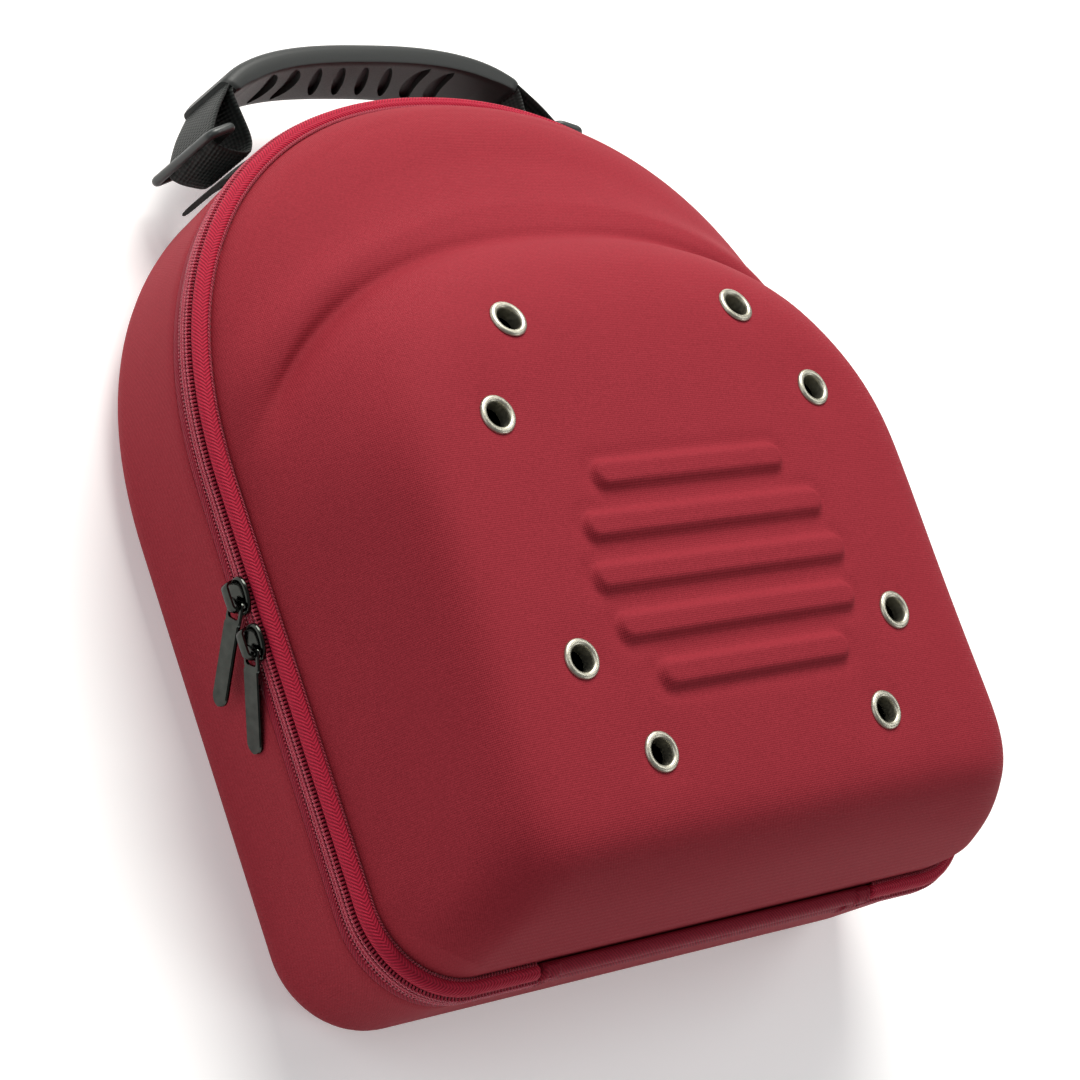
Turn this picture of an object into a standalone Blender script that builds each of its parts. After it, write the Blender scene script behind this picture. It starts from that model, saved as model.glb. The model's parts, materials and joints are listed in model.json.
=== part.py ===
"""Cap carrier case, lying on its flat back: two moulded shells, a zip round them, a cloth hinge and a carry handle.

X runs across the case, Y up its length towards the handle and Z from its back to its front. The origin is
the middle of the back's outer face. Lengths are in metres, angles in degrees.
"""

import math
from collections import namedtuple

import bmesh
import bpy
from mathutils import Matrix, Vector

# Case
CASE_LENGTH = 0.300
CASE_WIDTH = 0.2705
SEAM_HEIGHT = 0.0565
ARCH_START = 0.1675
ARCH_SQUARENESS = 2.19
CORNER_RADIUS = 0.033
WALL = 0.004
CLEARANCE = 0.0003

# Back shell
BACK_DRAFT = 4.0
BACK_EDGE_RADIUS = 0.018

# Zip, measured from the seam's middle plane
CHAIN_WIDTH = 0.0062
CHAIN_THICKNESS = 0.0026
CHAIN_PROUD = 0.0010
TAPE_STRIP = 0.0034
TAPE_THICKNESS = 0.0020
PIPING_WIDTH = 0.0044
PIPING_DEPTH = 0.0044
HINGE_HALF_LENGTH = 0.0750
HINGE_THICKNESS = 0.0022
HINGE_TAB = 0.0060
HINGE_TAB_PROUD = 0.0007
HINGE_SAG = 0.0004

# Front shell
CROWN_RISE = 0.0588
CROWN_HALF_WIDTH = 0.1301
CROWN_ARCH_START = 0.1403
CROWN_ARCH_TOP = 0.2613
CROWN_BOTTOM = 0.0020
CROWN_CORNER_RADIUS = 0.019
CROWN_SQUARENESS = 2.15
CROWN_SWELL = 0.35
DOME_RISE = 0.0284
DOME_EDGE = 0.0659
DOME_TILT = 0.0575
VALLEY_DEPTH = 0.0038
VALLEY_WIDTH = 0.0153
VALLEY_OFFSET = 0.0051
VALLEY_BLEND = 0.0092

# Eyelets
EYELET_MIDDLE = 0.1222
EYELET_OUTER_ROW = 0.0722
EYELET_INNER_ROW = 0.0400
EYELET_NARROW = 0.0512
EYELET_WIDE = 0.0711
EYELET_RADIUS = 0.0066
EYELET_HOLE_RADIUS = 0.0043
EYELET_BARREL = 0.0005
EYELET_FLANGE = 0.0011
EYELET_SEAT_DEPTH = 0.0007
EYELET_SIDES = 12

# Raised ribs on the front
RIB_COUNT = 5
RIB_PITCH = 0.0165
RIB_WIDTH = 0.0085
RIB_RISE = 0.0022
RIB_PANEL_MIDDLE = 0.1060
RIB_PANEL_HALF_WIDTH = 0.0560
RIB_PANEL_HALF_HEIGHT = 0.0500

# Zip sliders and pulls, on the left side
SLIDER_LENGTH = 0.0120
SLIDER_WIDTH = 0.0086
SLIDER_PLATE = 0.0016
SLIDER_POWER = 0.8
UPPER_SLIDER_FROM_BOTTOM = 0.1345
SLIDER_SPACING = 0.0152
CROWN_BAR_WIDTH = 0.0018
CROWN_BAR_THICKNESS = 0.0011
CROWN_BAR_GAP = 0.0034
PULL_LENGTH = 0.0340
PULL_WIDTH = 0.0070
PULL_THICKNESS = 0.0014
PULL_EYE_WIDTH = 0.0050
PULL_EYE_LENGTH = 0.0050
PULL_BAR = 0.0012
PULL_AXIS_DROP = 0.0014
PULL_SLIDE = 0.0006
UPPER_PULL_SWING = 42.0
LOWER_PULL_SWING = 35.0

# Handle
HANDLE_GAP = 0.0232
HANDLE_CENTRE_HEIGHT = 0.0305
GRIP_WIDTH = 0.0280
GRIP_THICKNESS = 0.0080
GRIP_HALF_SPAN = 0.0800
GRIP_DROP = 0.0290
GRIP_SQUARENESS = 2.6
GRIP_TURN = 83.0
GROOVE_WIDTH = 0.0042
GROOVE_LENGTH = 0.0180
GROOVE_DEPTH = 0.0016
GROOVE_PITCH = 0.0140
GROOVE_SLANT = 35.0
ANCHOR_HALF_SPAN = 0.0660
ANCHOR_LENGTH = 0.0260
WEBBING_WIDTH = 0.0270
WEBBING_THICKNESS = 0.0018
RING_LENGTH = 0.0385
RING_DEPTH = 0.0115
RING_WIRE = 0.0032
RING_OUT = 0.0165
RING_UP = 0.0058
RING_TILT = 17.0
STRAP_FOLD = 0.0050

FRONT_INSET = PIPING_DEPTH + CLEARANCE
HALF_CHAIN = CHAIN_WIDTH / 2
TAPE_BOTTOM = -(HALF_CHAIN + CLEARANCE + TAPE_STRIP)
PIPING_TOP = HALF_CHAIN + CLEARANCE + PIPING_WIDTH
SHELL_TOP = TAPE_BOTTOM - CLEARANCE

# A foot is an outline of the case's kind: straight sides, an arch over them and two round corners below.
Foot = namedtuple("Foot", "half_width arch_start top bottom corner squareness")

Station = namedtuple("Station", "point inward")

# How a mound's wall leaves its foot: its slope, and over what height it rounds into the top.
Wall = namedtuple("Wall", "place slope rounding")
CROWN_WALLS = {
    wall.place: wall
    for wall in (
        Wall("side", 3.22, 0.0425),
        Wall("top", 1.33, 0.0432),
        Wall("bottom", 4.30, 0.0555),
        Wall("upper corner", 1.98, 0.0529),
        Wall("lower corner", 2.98, 0.0477),
    )
}

# Rings of the front shell, as shares of the way from its edge to the arch's middle.
FRONT_SHARES = (0, 0.012, 0.03, 0.055, 0.085, 0.12, 0.165, 0.215, 0.27, 0.33, 0.40, 0.48, 0.57, 0.70, 0.85)

# The grip's width and thickness along it, as shares of its full ones.
GripSection = namedtuple("GripSection", "place width thickness")
GRIP_SECTIONS = (
    GripSection(-1.00, 0.88, 0.30),
    GripSection(-0.93, 0.92, 0.40),
    GripSection(-0.84, 0.96, 0.55),
    GripSection(-0.72, 1.00, 0.85),
    GripSection(-0.55, 1.00, 1.00),
    GripSection(-0.30, 1.00, 1.00),
    GripSection(0.00, 1.00, 1.00),
    GripSection(0.30, 1.00, 1.00),
    GripSection(0.55, 1.00, 1.00),
    GripSection(0.72, 1.00, 0.85),
    GripSection(0.84, 0.96, 0.55),
    GripSection(0.93, 0.92, 0.40),
    GripSection(1.00, 0.88, 0.30),
)


def from_bottom(distance):
    """The Y of a point this far above the case's lower end."""
    return distance - CASE_LENGTH / 2


CASE_FOOT = Foot(
    CASE_WIDTH / 2, from_bottom(ARCH_START), CASE_LENGTH / 2, -CASE_LENGTH / 2, CORNER_RADIUS, ARCH_SQUARENESS
)
CROWN_FOOT = Foot(
    CROWN_HALF_WIDTH,
    from_bottom(CROWN_ARCH_START),
    from_bottom(CROWN_ARCH_TOP),
    from_bottom(CROWN_BOTTOM),
    CROWN_CORNER_RADIUS,
    CROWN_SQUARENESS,
)
DOME_FOOT = Foot(
    CASE_FOOT.half_width - FRONT_INSET,
    CASE_FOOT.arch_start,
    CASE_FOOT.top - FRONT_INSET,
    CASE_FOOT.bottom + FRONT_INSET,
    CORNER_RADIUS - FRONT_INSET,
    ARCH_SQUARENESS,
)


def clear_scene():
    for obj in list(bpy.data.objects):
        bpy.data.objects.remove(obj, do_unlink=True)


def make_material(name, colour, roughness, metallic=0.0):
    material = bpy.data.materials.new(name)
    material.use_nodes = True
    shader = material.node_tree.nodes["Principled BSDF"]
    shader.inputs["Base Color"].default_value = (*colour, 1.0)
    shader.inputs["Roughness"].default_value = roughness
    shader.inputs["Metallic"].default_value = metallic
    material.diffuse_color = (*colour, 1.0)
    return material


def shell_fabric():
    return make_material("shell_fabric", (0.36, 0.035, 0.05), 0.75)


def zip_cloth():
    return make_material("zip_cloth", (0.42, 0.02, 0.07), 0.65)


def black_metal():
    return make_material("black_metal", (0.02, 0.02, 0.022), 0.25, 0.9)


def nickel():
    return make_material("nickel", (0.62, 0.60, 0.56), 0.3, 1.0)


def grip_rubber():
    return make_material("grip_rubber", (0.03, 0.032, 0.031), 0.55)


def black_webbing():
    return make_material("black_webbing", (0.012, 0.014, 0.012), 0.85)


def black_plastic():
    return make_material("black_plastic", (0.025, 0.028, 0.027), 0.45)


def add_object(name, bm, material, smooth_angle=40.0):
    """Turns a bmesh into a named object and shades it smooth up to the given angle."""
    mesh = bpy.data.meshes.new(name)
    bm.to_mesh(mesh)
    bm.free()
    mesh.materials.append(material)
    mesh.shade_smooth()
    mesh.set_sharp_from_angle(angle=math.radians(smooth_angle))
    obj = bpy.data.objects.new(name, mesh)
    bpy.context.scene.collection.objects.link(obj)
    return obj


def add_cutter(name, bm, target, operation="DIFFERENCE"):
    """Joins a helper solid to a target, or cuts it away, with a Boolean modifier."""
    bmesh.ops.recalc_face_normals(bm, faces=bm.faces)
    mesh = bpy.data.meshes.new(name)
    bm.to_mesh(mesh)
    bm.free()
    cutter = bpy.data.objects.new(name, mesh)
    bpy.context.scene.collection.objects.link(cutter)
    cutter.hide_render = True
    cutter.display_type = "WIRE"
    modifier = target.modifiers.new(name, "BOOLEAN")
    modifier.operation = operation
    modifier.object = cutter
    return cutter


def loft(bm, rings, closed_rings=True, closed_loop=False, cap=True):
    """Joins rings of points into a skin and returns the rings' vertices."""
    rows = [[bm.verts.new(point) for point in ring] for ring in rings]
    count = len(rows[0])
    pairs = list(zip(rows, rows[1:]))
    if closed_loop:
        pairs.append((rows[-1], rows[0]))
    for lower, upper in pairs:
        for i in range(count if closed_rings else count - 1):
            j = (i + 1) % count
            bm.faces.new((lower[i], lower[j], upper[j], upper[i]))
    if cap and not closed_loop:
        bm.faces.new(rows[0][::-1])
        bm.faces.new(rows[-1])
    return rows


def loft_object(name, rings, material, closed_loop=False, smooth_angle=40.0):
    bm = bmesh.new()
    loft(bm, rings, closed_loop=closed_loop)
    bmesh.ops.recalc_face_normals(bm, faces=bm.faces)
    return add_object(name, bm, material, smooth_angle)


def prism(bm, outline, place, thickness):
    """A plate with this outline: place maps (u, v, w) to space, and w runs from 0 to the thickness."""
    rows = [[bm.verts.new(place(u, v, w)) for u, v in outline] for w in (0, thickness)]
    count = len(outline)
    for i in range(count):
        j = (i + 1) % count
        bm.faces.new((rows[0][i], rows[0][j], rows[1][j], rows[1][i]))
    bm.faces.new(rows[0][::-1])
    bm.faces.new(rows[1])


def arc(centre, radius, start, end, steps):
    """Points on a circle's arc from one angle to another, both ends among them."""
    turn = (end - start) / steps
    angles = [math.radians(start + turn * i) for i in range(steps + 1)]
    return [(centre[0] + radius * math.cos(a), centre[1] + radius * math.sin(a)) for a in angles]


def lerp(a, b, share):
    return a + (b - a) * share


def smooth_max(a, b, blend):
    share = min(max(0.5 + 0.5 * (a - b) / blend, 0), 1)
    return lerp(b, a, share) + blend * share * (1 - share)


def smooth_min(a, b, blend):
    return -smooth_max(-a, -b, blend)


def reach(foot, across, along):
    """How far a foot's outline lies from its arch's middle, in the direction (across, along)."""
    across = abs(across)
    if along >= 0:
        rise = foot.top - foot.arch_start
        power = foot.squareness
        return ((across / foot.half_width) ** power + (along / rise) ** power) ** (-1 / power)
    drop = foot.arch_start - foot.bottom
    down = -along
    straight = min(foot.half_width / max(across, 1e-9), drop / down)
    corner_x = foot.half_width - foot.corner
    corner_y = drop - foot.corner
    if straight * across <= corner_x or straight * down <= corner_y:
        return straight
    forward = across * corner_x + down * corner_y
    return forward + math.sqrt(forward**2 - corner_x**2 - corner_y**2 + foot.corner**2)


def depth_inside(foot, x, y):
    """How far a point lies inside a foot, measured from the arch's middle. It is negative outside."""
    dy = y - foot.arch_start
    radius = math.hypot(x, dy)
    if radius < 1e-6:
        return foot.half_width
    return reach(foot, x / radius, dy / radius) - radius


def crown_wall(x, y):
    """Slope and rounding of the crown's wall on the side of its middle where the point lies."""
    dy = y - CROWN_FOOT.arch_start
    upright = dy**2 / max(x**2 + dy**2, 1e-12)
    diagonal = 4 * upright * (1 - upright)
    end = CROWN_WALLS["top" if dy > 0 else "bottom"]
    corner = CROWN_WALLS["upper corner" if dy > 0 else "lower corner"]
    side = CROWN_WALLS["side"]
    slope = lerp(side.slope, end.slope, upright)
    rounding = lerp(side.rounding, end.rounding, upright)
    slope += (corner.slope - (side.slope + end.slope) / 2) * diagonal
    rounding += (corner.rounding - (side.rounding + end.rounding) / 2) * diagonal
    return slope, rounding


def front_rise(x, y):
    """Height of the front shell's outer face above its own edge: a low dome with a high crown on it."""
    inside_case = max(depth_inside(DOME_FOOT, x, y), 0)
    share = min(inside_case / DOME_EDGE, 1)
    edge = math.sqrt(1 - (1 - share) ** 2)
    inside_crown = depth_inside(CROWN_FOOT, x, y)
    valley = VALLEY_DEPTH * math.exp(-(((inside_crown + VALLEY_OFFSET) / VALLEY_WIDTH) ** 2))
    dome = edge * (DOME_RISE + DOME_TILT * (CASE_FOOT.top - y) - valley)
    swell = CROWN_SWELL * (0.5 * x**2 + (y - from_bottom(EYELET_MIDDLE)) ** 2)
    slope, rounding = crown_wall(x, y)
    crown = smooth_min(slope * inside_crown, CROWN_RISE - swell, rounding)
    return max(smooth_max(dome, crown, VALLEY_BLEND), 0)


def front_height(x, y):
    """Height of the front shell's outer face above the back of the case."""
    return SEAM_HEIGHT + PIPING_TOP - PIPING_WIDTH / 3 + front_rise(x, y)


def half_stations():
    """The right half of the case's outline, from the lower middle to the top, with the way inwards."""
    foot = CASE_FOOT
    stations = []
    flat = foot.half_width - foot.corner
    for share in (0, HINGE_HALF_LENGTH / 2 / flat, HINGE_HALF_LENGTH / flat):
        stations.append(Station(Vector((share * flat, foot.bottom)), Vector((0, 1))))
    for x, y in arc((flat, foot.bottom + foot.corner), foot.corner, -90, 0, 5):
        away = Vector((x - flat, y - foot.bottom - foot.corner)).normalized()
        stations.append(Station(Vector((x, y)), -away))
    low = foot.bottom + foot.corner
    for share in (0.25, 0.5, 0.75):
        stations.append(Station(Vector((foot.half_width, lerp(low, foot.arch_start, share))), Vector((-1, 0))))
    rise = foot.top - foot.arch_start
    power = foot.squareness
    steps = 15
    for i in range(steps + 1):
        turn = math.pi / 2 * i / steps
        x = foot.half_width * math.cos(turn) ** (2 / power)
        y = foot.arch_start + rise * math.sin(turn) ** (2 / power)
        slope_x = (x / foot.half_width) ** (power - 1) / foot.half_width
        slope_y = ((y - foot.arch_start) / rise) ** (power - 1) / rise
        stations.append(Station(Vector((x, y)), -Vector((slope_x, slope_y)).normalized()))
    return stations


def mirrored(station):
    flip = Vector((-1, 1))
    return Station(station.point * flip, station.inward * flip)


def all_stations():
    """The whole outline, anticlockwise seen from the front, from the lower middle."""
    right = half_stations()
    left = [mirrored(station) for station in right[1:-1]]
    return right + left[::-1]


def zip_stations():
    """The outline's part that opens: from the hinge's right end over the top to its left end."""
    right = half_stations()[2:]
    left = [mirrored(station) for station in right[:-1]]
    return right + left[::-1]


def hinge_stations():
    right = half_stations()[:3]
    left = [mirrored(station) for station in right[1:]]
    return left[::-1] + right


def ring_at(stations, inset, height):
    """The outline's points moved inwards by the inset, at one height above the back."""
    return [(*(station.point + station.inward * inset), height) for station in stations]


def back_shell():
    stations = all_stations()
    top = SEAM_HEIGHT + SHELL_TOP
    taper = math.tan(math.radians(BACK_DRAFT))
    straight = BACK_EDGE_RADIUS * (1 - math.sin(math.radians(BACK_DRAFT)))
    rings = [ring_at(stations, 0, top)]
    for height in (lerp(top, straight, 0.5), straight):
        rings.append(ring_at(stations, taper * (top - height), height))
    side = taper * (top - straight)
    sunk = BACK_EDGE_RADIUS * math.cos(math.radians(BACK_DRAFT))
    for angle in (25, 45, 65, 90):
        turn = math.radians(angle)
        inset = side + sunk * (1 - math.cos(turn))
        rings.append(ring_at(stations, inset, straight * (1 - math.sin(turn))))
    bm = bmesh.new()
    rows = loft(bm, [ring[::-1] for ring in rings], cap=False)
    bm.faces.new(rows[-1])
    shell = add_object("back_shell", bm, shell_fabric())
    hollow = shell.modifiers.new("hollow", "SOLIDIFY")
    hollow.thickness = WALL
    hollow.offset = -1
    hollow.use_even_offset = True
    return shell


def eyelet_places():
    middle = from_bottom(EYELET_MIDDLE)
    places = []
    for side in (-1, 1):
        for row, out in (
            (EYELET_OUTER_ROW, EYELET_NARROW),
            (EYELET_INNER_ROW, EYELET_WIDE),
            (-EYELET_INNER_ROW, EYELET_WIDE),
            (-EYELET_OUTER_ROW, EYELET_NARROW),
        ):
            places.append((side * out, middle + row))
    return places


def face_frame(x, y):
    """A frame on the front face: its origin on the face and its third axis square to it."""
    step = 0.002
    slope_x = (front_height(x + step, y) - front_height(x - step, y)) / (2 * step)
    slope_y = (front_height(x, y + step) - front_height(x, y - step)) / (2 * step)
    normal = Vector((-slope_x, -slope_y, 1)).normalized()
    matrix = normal.to_track_quat("Z", "Y").to_matrix().to_4x4()
    matrix.translation = Vector((x, y, front_height(x, y)))
    return matrix


def turned_rings(profile, sides, matrix):
    """Rings of a turned shape: profile lists (radius, height) and the matrix places it."""
    rings = []
    for radius, height in profile:
        ring = []
        for i in range(sides):
            turn = 2 * math.pi * i / sides
            ring.append(matrix @ Vector((radius * math.cos(turn), radius * math.sin(turn), height)))
        rings.append(ring)
    return rings


def front_shell():
    stations = all_stations()
    edge = [station.point + station.inward * FRONT_INSET for station in stations]
    middle = Vector((0, CASE_FOOT.arch_start))
    lip = SEAM_HEIGHT + HALF_CHAIN + 4 * CLEARANCE
    rings = [[(*point, lip) for point in edge]]
    for share in FRONT_SHARES:
        points = [point.lerp(middle, share) for point in edge]
        rings.append([(*point, front_height(*point)) for point in points])
    bm = bmesh.new()
    rows = loft(bm, rings, cap=False)
    peak = bm.verts.new((*middle, front_height(*middle)))
    last = rows[-1]
    for i, vertex in enumerate(last):
        bm.faces.new((vertex, last[(i + 1) % len(last)], peak))
    shell = add_object("front_shell", bm, shell_fabric())
    hollow = shell.modifiers.new("hollow", "SOLIDIFY")
    hollow.thickness = WALL
    hollow.offset = -1
    hollow.use_even_offset = True
    bore = EYELET_HOLE_RADIUS + EYELET_BARREL + CLEARANCE
    seat = EYELET_RADIUS + 2 * CLEARANCE
    cut = [
        (seat, -3 * WALL),
        (seat, EYELET_SEAT_DEPTH - WALL),
        (bore, EYELET_SEAT_DEPTH - WALL),
        (bore, -EYELET_SEAT_DEPTH),
        (seat, -EYELET_SEAT_DEPTH),
        (seat, WALL),
    ]
    for number, (x, y) in enumerate(eyelet_places(), 1):
        hole = bmesh.new()
        loft(hole, turned_rings(cut, EYELET_SIDES, face_frame(x, y)))
        add_cutter(f"eyelet_bore_{number}", hole, shell)
    for number in range(RIB_COUNT):
        offset = (number - (RIB_COUNT - 1) / 2) * RIB_PITCH
        add_cutter(f"rib_{number + 1}", rib(offset), shell, "UNION")
    return shell


def rib(offset):
    """A rounded rib across the front, sunk into the face and long enough to fill an oval panel."""
    y = from_bottom(RIB_PANEL_MIDDLE) + offset
    half = RIB_PANEL_HALF_WIDTH * math.sqrt(1 - (offset / RIB_PANEL_HALF_HEIGHT) ** 2)
    bm = bmesh.new()
    rings = []
    steps = 6
    for i in range(steps + 1):
        x = lerp(-half, half, i / steps)
        width = RIB_WIDTH / 2 * (0.45 if i in (0, steps) else 1)
        rise = RIB_RISE * (0.25 if i in (0, steps) else 1)
        height = front_height(x, y)
        profile = ((-1, -0.5 * WALL), (-1, 0), (-0.55, rise), (0.55, rise), (1, 0), (1, -0.5 * WALL))
        rings.append([(x, y + width * u, height + w) for u, w in profile])
    loft(bm, rings)
    return bm


def eyelet(number, x, y):
    """A pressed eyelet: a flange on the face, a barrel through the wall and a flange behind it."""
    over = CLEARANCE - EYELET_SEAT_DEPTH
    under = EYELET_SEAT_DEPTH - WALL - CLEARANCE
    hole = EYELET_HOLE_RADIUS
    barrel = hole + EYELET_BARREL
    profile = [
        (hole, over + EYELET_FLANGE * 0.7),
        ((hole + EYELET_RADIUS) / 2, over + EYELET_FLANGE),
        (EYELET_RADIUS, over),
        (barrel, over),
        (barrel, under),
        (EYELET_RADIUS, under),
        (EYELET_RADIUS, under - EYELET_FLANGE / 2),
        (hole, under - EYELET_FLANGE / 2),
    ]
    rings = turned_rings(profile, EYELET_SIDES, face_frame(x, y))
    return loft_object(f"eyelet_{number}", rings, nickel(), closed_loop=True)


def swept(name, stations, section, material, smooth_angle=50.0):
    """A bar of one section along the outline: section lists (inset, height over the seam)."""
    rings = []
    for station in stations:
        ring = []
        for inset, height in section:
            point = station.point + station.inward * inset
            ring.append((*point, SEAM_HEIGHT + height))
        rings.append(ring)
    return loft_object(name, rings, material, smooth_angle=smooth_angle)


def zip_chain():
    inner = CHAIN_THICKNESS - CHAIN_PROUD
    section = [
        (inner, -HALF_CHAIN),
        (-CHAIN_PROUD / 2, -HALF_CHAIN),
        (-CHAIN_PROUD, 0),
        (-CHAIN_PROUD / 2, HALF_CHAIN),
        (inner, HALF_CHAIN),
    ]
    return swept("zip_chain", zip_stations(), section, zip_cloth())


def zip_tape_back():
    top = -HALF_CHAIN - CLEARANCE
    section = [(TAPE_THICKNESS, TAPE_BOTTOM), (0, TAPE_BOTTOM), (0, top), (TAPE_THICKNESS, top)]
    return swept("zip_tape_back", zip_stations(), section, zip_cloth())


def piping_section(foot_height):
    """The rounded band beside the front shell: (inset, height) round its section, from the given height up."""
    top = PIPING_TOP
    return [
        (0.10 * PIPING_DEPTH, foot_height),
        (-0.12 * PIPING_DEPTH, lerp(foot_height, top, 0.35)),
        (0.0, lerp(foot_height, top, 0.72)),
        (0.30 * PIPING_DEPTH, lerp(foot_height, top, 0.95)),
        (0.62 * PIPING_DEPTH, top),
        (PIPING_DEPTH, lerp(foot_height, top, 0.78)),
        (PIPING_DEPTH, foot_height),
    ]


def zip_piping():
    return swept("zip_piping", zip_stations(), piping_section(HALF_CHAIN + CLEARANCE), zip_cloth())


def hinge_strip():
    """The cloth hinge below, with a folded tab at each end that stands a little prouder."""
    stations = hinge_stations()
    ends = (stations[0], stations[-1])
    tabs = []
    for side, end in zip((1, -1), ends):
        steps = ((CLEARANCE, HINGE_TAB_PROUD), (HINGE_TAB, HINGE_TAB_PROUD), (1.1 * HINGE_TAB, 0))
        tabs.append([(Station(end.point + Vector((side * step, 0)), end.inward), lift) for step, lift in steps])
    path = tabs[0] + [(station, 0) for station in stations[1:-1]] + tabs[1][::-1]
    rings = []
    for station, lift in path:
        piping = piping_section(HALF_CHAIN)
        outer = [(inset - lift, height) for inset, height in piping[:-1]]
        section = [
            (HINGE_THICKNESS, TAPE_BOTTOM),
            (CLEARANCE - lift, TAPE_BOTTOM),
            (-HINGE_SAG - lift, TAPE_BOTTOM / 2),
            *outer,
            (PIPING_DEPTH, HALF_CHAIN + CLEARANCE),
            (HINGE_THICKNESS, HALF_CHAIN),
        ]
        rings.append(
            [(*(station.point + station.inward * inset), SEAM_HEIGHT + height) for inset, height in section]
        )
    return loft_object("hinge_strip", rings, zip_cloth(), smooth_angle=30)


# Outer level of the chain's crest on the left side, and what is stacked on it.
CHAIN_FACE = -(CASE_WIDTH / 2 + CHAIN_PROUD)
PLATE_INNER = CHAIN_FACE - CLEARANCE
PLATE_OUTER = PLATE_INNER - SLIDER_PLATE
PULL_AXIS_X = PLATE_OUTER - CROWN_BAR_GAP / 2


def slider_middles():
    upper = from_bottom(UPPER_SLIDER_FROM_BOTTOM)
    return {"upper": upper, "lower": upper - SLIDER_SPACING}


def slider(name, middle):
    """A zip slider: an oval plate over the chain, and a crown that the pull's bar turns under."""

    def place(u, v, w):
        return (PLATE_INNER - w, middle + u, SEAM_HEIGHT + v)

    half_length = SLIDER_LENGTH / 2
    half_width = SLIDER_WIDTH / 2
    sides = 14
    plate = []
    for i in range(sides):
        turn = 2 * math.pi * i / sides
        u = math.copysign(abs(math.cos(turn)) ** SLIDER_POWER, math.cos(turn))
        v = math.copysign(abs(math.sin(turn)) ** SLIDER_POWER, math.sin(turn))
        plate.append((half_length * u, half_width * v))
    bm = bmesh.new()
    prism(bm, plate, place, SLIDER_PLATE)
    bmesh.ops.recalc_face_normals(bm, faces=bm.faces)
    body = add_object(name, bm, black_metal())

    def arch_place(u, v, w):
        return (PLATE_OUTER - v, middle + u, SEAM_HEIGHT - CROWN_BAR_WIDTH / 2 + w)

    reach_out = half_length * 0.80
    top = CROWN_BAR_GAP + CROWN_BAR_THICKNESS
    leg = CROWN_BAR_THICKNESS
    sunk = -SLIDER_PLATE / 2
    outer = [
        (-reach_out, sunk),
        (-reach_out, top * 0.55),
        (-reach_out * 0.72, top * 0.92),
        (0, top),
        (reach_out * 0.72, top * 0.92),
        (reach_out, top * 0.55),
        (reach_out, sunk),
    ]
    inner = [
        (reach_out - leg, sunk),
        (reach_out - leg, CROWN_BAR_GAP * 0.5),
        (reach_out * 0.6, CROWN_BAR_GAP * 0.9),
        (0, CROWN_BAR_GAP),
        (-reach_out * 0.6, CROWN_BAR_GAP * 0.9),
        (-reach_out + leg, CROWN_BAR_GAP * 0.5),
        (-reach_out + leg, sunk),
    ]
    crown = bmesh.new()
    prism(crown, outer + inner, arch_place, CROWN_BAR_WIDTH)
    add_cutter(f"{name}_crown", crown, body, "UNION")
    return body


def wall_inset(height):
    """How far the back shell's side wall lies inside the outline at this height."""
    return math.tan(math.radians(BACK_DRAFT)) * max(SEAM_HEIGHT + SHELL_TOP - height, 0)


def pull_frame(middle, swing_degrees, over_slider):
    """A pull's frame: its origin on the pull's bar, its first axis along the pull and its third away from the case.

    A pull leans in until its tip nears the wall, or until it nears the slider that it passes over.
    """
    swing = math.radians(swing_degrees)
    down = Vector((0, -math.cos(swing), -math.sin(swing)))
    tip_height = SEAM_HEIGHT - PULL_LENGTH * math.sin(swing)
    wall_x = -(CASE_WIDTH / 2 - wall_inset(tip_height))
    thick = PULL_THICKNESS / 2 + 2 * CLEARANCE
    lean = math.asin((wall_x - PULL_AXIS_X - thick) / PULL_LENGTH)
    if over_slider:
        passed = (SLIDER_SPACING + SLIDER_LENGTH / 2) / math.cos(swing)
        lean = min(lean, (PLATE_OUTER - PULL_AXIS_X - thick) / passed)
    along = down * math.cos(lean) + Vector((1, 0, 0)) * math.sin(lean)
    pin = Vector((0, math.sin(swing), -math.cos(swing)))
    away = along.cross(pin)
    if away.x > 0:
        away = -away
    matrix = Matrix((along, pin, away)).transposed().to_4x4()
    matrix.translation = Vector((PULL_AXIS_X, middle - PULL_AXIS_DROP, SEAM_HEIGHT)) - pin * PULL_SLIDE
    return matrix


def pull(name, frame):
    """A zip pull: a flat plate with a round end, and an eye whose bar turns under the slider's crown."""
    half = PULL_WIDTH / 2
    eye_half = PULL_EYE_WIDTH / 2 + PULL_BAR
    bar = PULL_BAR / 2
    neck = PULL_EYE_LENGTH + bar
    end = PULL_LENGTH - half
    outline = [
        (-bar, -eye_half),
        (neck, -eye_half),
        (neck + PULL_BAR, -half),
        *arc((end, 0), half, -90, 90, 8),
        (neck + PULL_BAR, half),
        (neck, eye_half),
        (-bar, eye_half),
    ]

    def place(u, v, w):
        return (u, v, w - PULL_THICKNESS / 2)

    bm = bmesh.new()
    prism(bm, outline, place, PULL_THICKNESS)
    bmesh.ops.recalc_face_normals(bm, faces=bm.faces)
    body = add_object(name, bm, black_metal())
    body.matrix_world = frame
    eye = bmesh.new()
    wide = PULL_EYE_WIDTH / 2
    hole = [(bar, -wide), (neck, -wide), (neck, wide), (bar, wide)]
    prism(eye, hole, lambda u, v, w: (u, v, w - PULL_THICKNESS), 2 * PULL_THICKNESS)
    cutter = add_cutter(f"{name}_eye", eye, body)
    cutter.matrix_world = body.matrix_world
    return body


def grip_point(share):
    """The grip's centre line in X and Y, and the way out from the case, for a share from -1 to 1."""
    turn = math.radians(GRIP_TURN) * share
    power = 2 / GRIP_SQUARENESS
    crest = CASE_FOOT.top + HANDLE_GAP + GRIP_THICKNESS / 2
    x = GRIP_HALF_SPAN * math.copysign(abs(math.sin(turn)) ** power, share)
    y = crest - GRIP_DROP + GRIP_DROP * max(math.cos(turn), 0) ** power
    return Vector((x, y))


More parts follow.
